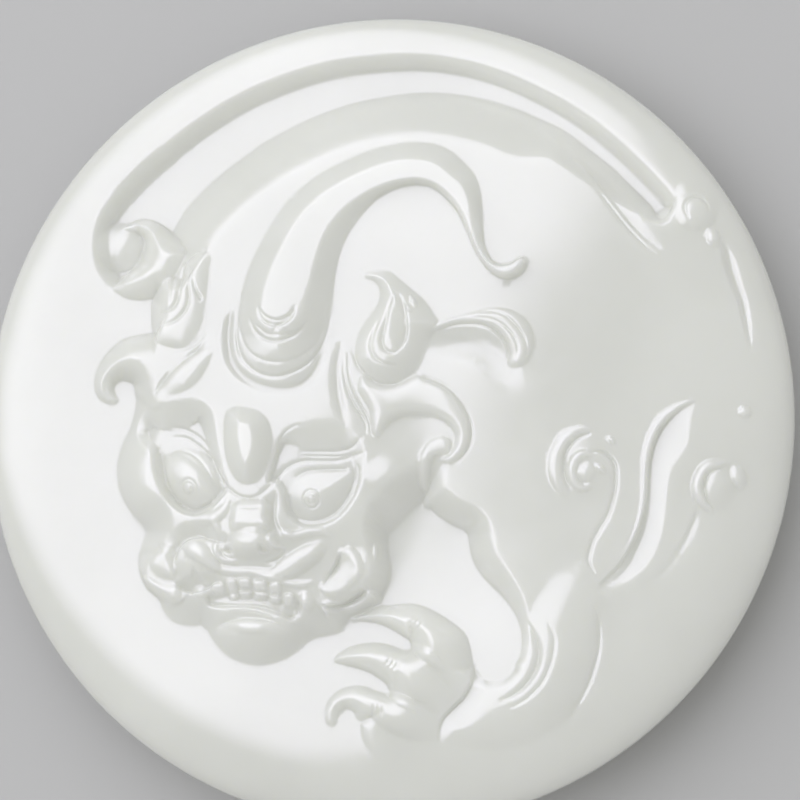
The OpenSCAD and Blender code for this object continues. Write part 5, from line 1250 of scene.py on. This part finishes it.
# %% [markdown]
# Nephrite is a felt of tiny fibres. Polished, it has a soft waxy gloss with sharp reflections, and light
# goes a millimetre or two into it before it comes out again, which softens the shadows in the carving.
# So the shader is one Principled surface with some subsurface light. Its colour is a cool grey white
# with faint clouds, and the gloss is broken by ripples too shallow to see except in a highlight.

# %% The jade
CLOUD_LIGHT = (0.81, 0.815, 0.775, 1)
CLOUD_DARK = (0.77, 0.775, 0.735, 1)
CLOUD_SCALE, POLISH_SCALE, RIPPLE_SCALE = 90, 700, 420
JADE_IOR, RIPPLE_STRENGTH, RIPPLE_DEPTH = 1.62, 0.25, 0.02 * MM
GLOW_SHARE, GLOW_DEPTH = 0.8, 2 * MM
shader = jade_nodes["Principled BSDF"]
shader.inputs["IOR"].default_value = JADE_IOR
shader.inputs["Subsurface Weight"].default_value = GLOW_SHARE
shader.inputs["Subsurface Radius"].default_value = (1.0, 1.0, 0.9)
shader.inputs["Subsurface Scale"].default_value = GLOW_DEPTH
where = jade_nodes.new("ShaderNodeTexCoord").outputs["Object"]


def noise(scale, detail, roughness=0.5):
    node = jade_nodes.new("ShaderNodeTexNoise")
    jade_links.new(where, node.inputs["Vector"])
    node.inputs["Scale"].default_value = scale
    node.inputs["Detail"].default_value = detail
    node.inputs["Roughness"].default_value = roughness
    return node.outputs[0]


def between(value, low_value, high_value, out_low, out_high):
    node = jade_nodes.new("ShaderNodeMapRange")
    jade_links.new(value, node.inputs["Value"])
    names = ("From Min", "From Max", "To Min", "To Max")
    for name, number in zip(names, (low_value, high_value, out_low, out_high)):
        node.inputs[name].default_value = number
    return node.outputs[0]


clouds = between(noise(CLOUD_SCALE, 4), 0.35, 0.65, 0, 1)
colour = jade_nodes.new("ShaderNodeMix")
colour.data_type = "RGBA"
jade_links.new(clouds, colour.inputs["Factor"])
colour.inputs[6].default_value = CLOUD_DARK
colour.inputs[7].default_value = CLOUD_LIGHT
jade_links.new(colour.outputs[2], shader.inputs["Base Color"])
jade_links.new(between(noise(POLISH_SCALE, 3), 0.3, 0.7, 0.10, 0.17), shader.inputs["Roughness"])
ripple = jade_nodes.new("ShaderNodeBump")
ripple.inputs["Strength"].default_value = RIPPLE_STRENGTH
ripple.inputs["Distance"].default_value = RIPPLE_DEPTH
jade_links.new(noise(RIPPLE_SCALE, 3), ripple.inputs["Height"])
jade_links.new(ripple.outputs[0], shader.inputs["Normal"])
print(f"jade: clouds {1 / CLOUD_SCALE / MM:.0f} mm, ripples {1 / RIPPLE_SCALE / MM:.0f} mm")

# %% [markdown]
# The pendant lies on a plain pale table. One softbox hangs over its upper left corner and nearly reaches
# the middle. Every slope that faces up or left mirrors the box and turns white, and every slope that
# faces right or down mirrors the dim room and stays grey. So the box's near edge decides how the relief
# reads: it is placed by the slope at which the face should turn from white to grey.

# %% Table, light and camera
TABLE_HALF = 0.6
TABLE_COLOUR, TABLE_ROUGHNESS = (0.5, 0.5, 0.49, 1), 0.7
ROOM_GLOW = 0.62
table_mesh = bpy.data.meshes.new("table_top")
table_corners = [(-1, -1, 0), (1, -1, 0), (1, 1, 0), (-1, 1, 0)]
table_mesh.from_pydata([Vector(c) * TABLE_HALF for c in table_corners], [], [(0, 1, 2, 3)])
table = bpy.data.objects.new("table_top", table_mesh)
bpy.context.scene.collection.objects.link(table)
pale, pale_nodes, _ = new_material("pale_table")
pale_nodes["Principled BSDF"].inputs["Base Color"].default_value = TABLE_COLOUR
pale_nodes["Principled BSDF"].inputs["Roughness"].default_value = TABLE_ROUGHNESS
table_mesh.materials.append(pale)

BOX_AZIMUTH, BOX_TILT, BOX_FAR = math.radians(150.7), math.radians(33.4), 0.8
BOX_GLOSS, BOX_FILL = 3.7, 0.8
GLOSS_TINT, FILL_TINT = (0.9, 0.87, 1.03), (0.96, 0.98, 1.0)
# How far each side of the box reaches from its middle, in degrees: toward the zenith, away, and the sides
BOX_NEAR, BOX_AWAY, BOX_RIGHT, BOX_LEFT = 32.6, 32.6, 52, 30
# The cloth glows less toward its edges: layers one behind the other, from the small one to the wide one
BOX_LAYERS, LAYER_GAP = 6, 0.005
SOFT_NEAR, SOFT_AWAY, SOFT_SIDES = 2.6, 14, 7


def polar(tilt, azimuth):
    """Direction that leans from the upright by the tilt."""
    low = math.sin(tilt)
    return Vector((low * math.cos(azimuth), low * math.sin(azimuth), math.cos(tilt)))


def reach(degrees):
    return math.tan(math.radians(degrees)) * BOX_FAR


toward = polar(BOX_TILT, BOX_AZIMUTH)
across = polar(math.pi / 2, BOX_AZIMUTH + math.pi / 2)
upward = toward.cross(across)


def softbox(name, radiance, tint, spread, behind, in_mirror):
    """One glowing cloth: spread runs from -1 for the small layer to 1 for the wide one."""
    near, away = reach(BOX_NEAR + spread * SOFT_NEAR), reach(BOX_AWAY + spread * SOFT_AWAY)
    one_side, other_side = reach(BOX_RIGHT + spread * SOFT_SIDES), reach(BOX_LEFT + spread * SOFT_SIDES)
    lamp = bpy.data.lights.new(name, "AREA")
    lamp.shape = "RECTANGLE"
    lamp.size, lamp.size_y = one_side + other_side, near + away
    lamp.color = tint
    lamp.energy = radiance * math.pi * lamp.size * lamp.size_y
    box = bpy.data.objects.new(name, lamp)
    turned = Matrix((across, upward, toward)).transposed().to_4x4()
    middle = across * (other_side - one_side) / 2 + upward * (near - away) / 2
    turned.translation = toward * (BOX_FAR + behind) + middle
    box.matrix_world = turned
    box.visible_glossy = in_mirror
    box.visible_diffuse = box.visible_transmission = not in_mirror
    bpy.context.scene.collection.objects.link(box)
    return lamp


lamp = softbox("softbox_fill", BOX_FILL, FILL_TINT, 0, 0, False)
for k in range(BOX_LAYERS):
    spread = 2 * k / (BOX_LAYERS - 1) - 1
    softbox(f"softbox_gloss_{k}", BOX_GLOSS / BOX_LAYERS, GLOSS_TINT, spread, k * LAYER_GAP, True)

room = bpy.data.worlds.new("dim_room")
room.use_nodes = True
room.node_tree.nodes["Background"].inputs["Color"].default_value = (1.0, 1.0, 1.0, 1)
room.node_tree.nodes["Background"].inputs["Strength"].default_value = ROOM_GLOW
bpy.context.scene.world = room
bpy.context.scene.view_settings.view_transform = "Standard"

CAMERA_TILT, CAMERA_TURN = math.radians(9), math.radians(50)
CAMERA_FAR = 300 * MM
CAMERA_LENS, CAMERA_SENSOR, CAMERA_NEAREST = 197.6, 36, 0.01
AIM = Vector((1.23, 1.05, 8.0)) * MM
look_back = Vector((
    math.sin(CAMERA_TILT) * math.sin(CAMERA_TURN),
    -math.sin(CAMERA_TILT) * math.cos(CAMERA_TURN),
    math.cos(CAMERA_TILT),
))
right = Vector((0, 1, 0)).cross(look_back).normalized()
camera = bpy.data.objects.new("camera", bpy.data.cameras.new("camera"))
camera.data.sensor_width = CAMERA_SENSOR
camera.data.lens = CAMERA_LENS
camera.data.clip_start = CAMERA_NEAREST
view = Matrix((right, look_back.cross(right), look_back)).transposed().to_4x4()
view.translation = AIM + look_back * CAMERA_FAR
camera.matrix_world = view
bpy.context.scene.collection.objects.link(camera)
bpy.context.scene.camera = camera
print(f"softbox {lamp.size:.2f} x {lamp.size_y:.2f} m, camera {CAMERA_FAR / MM:.0f} mm away")

# %% Hand over
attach(stone, "root")
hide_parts("jade_disc")
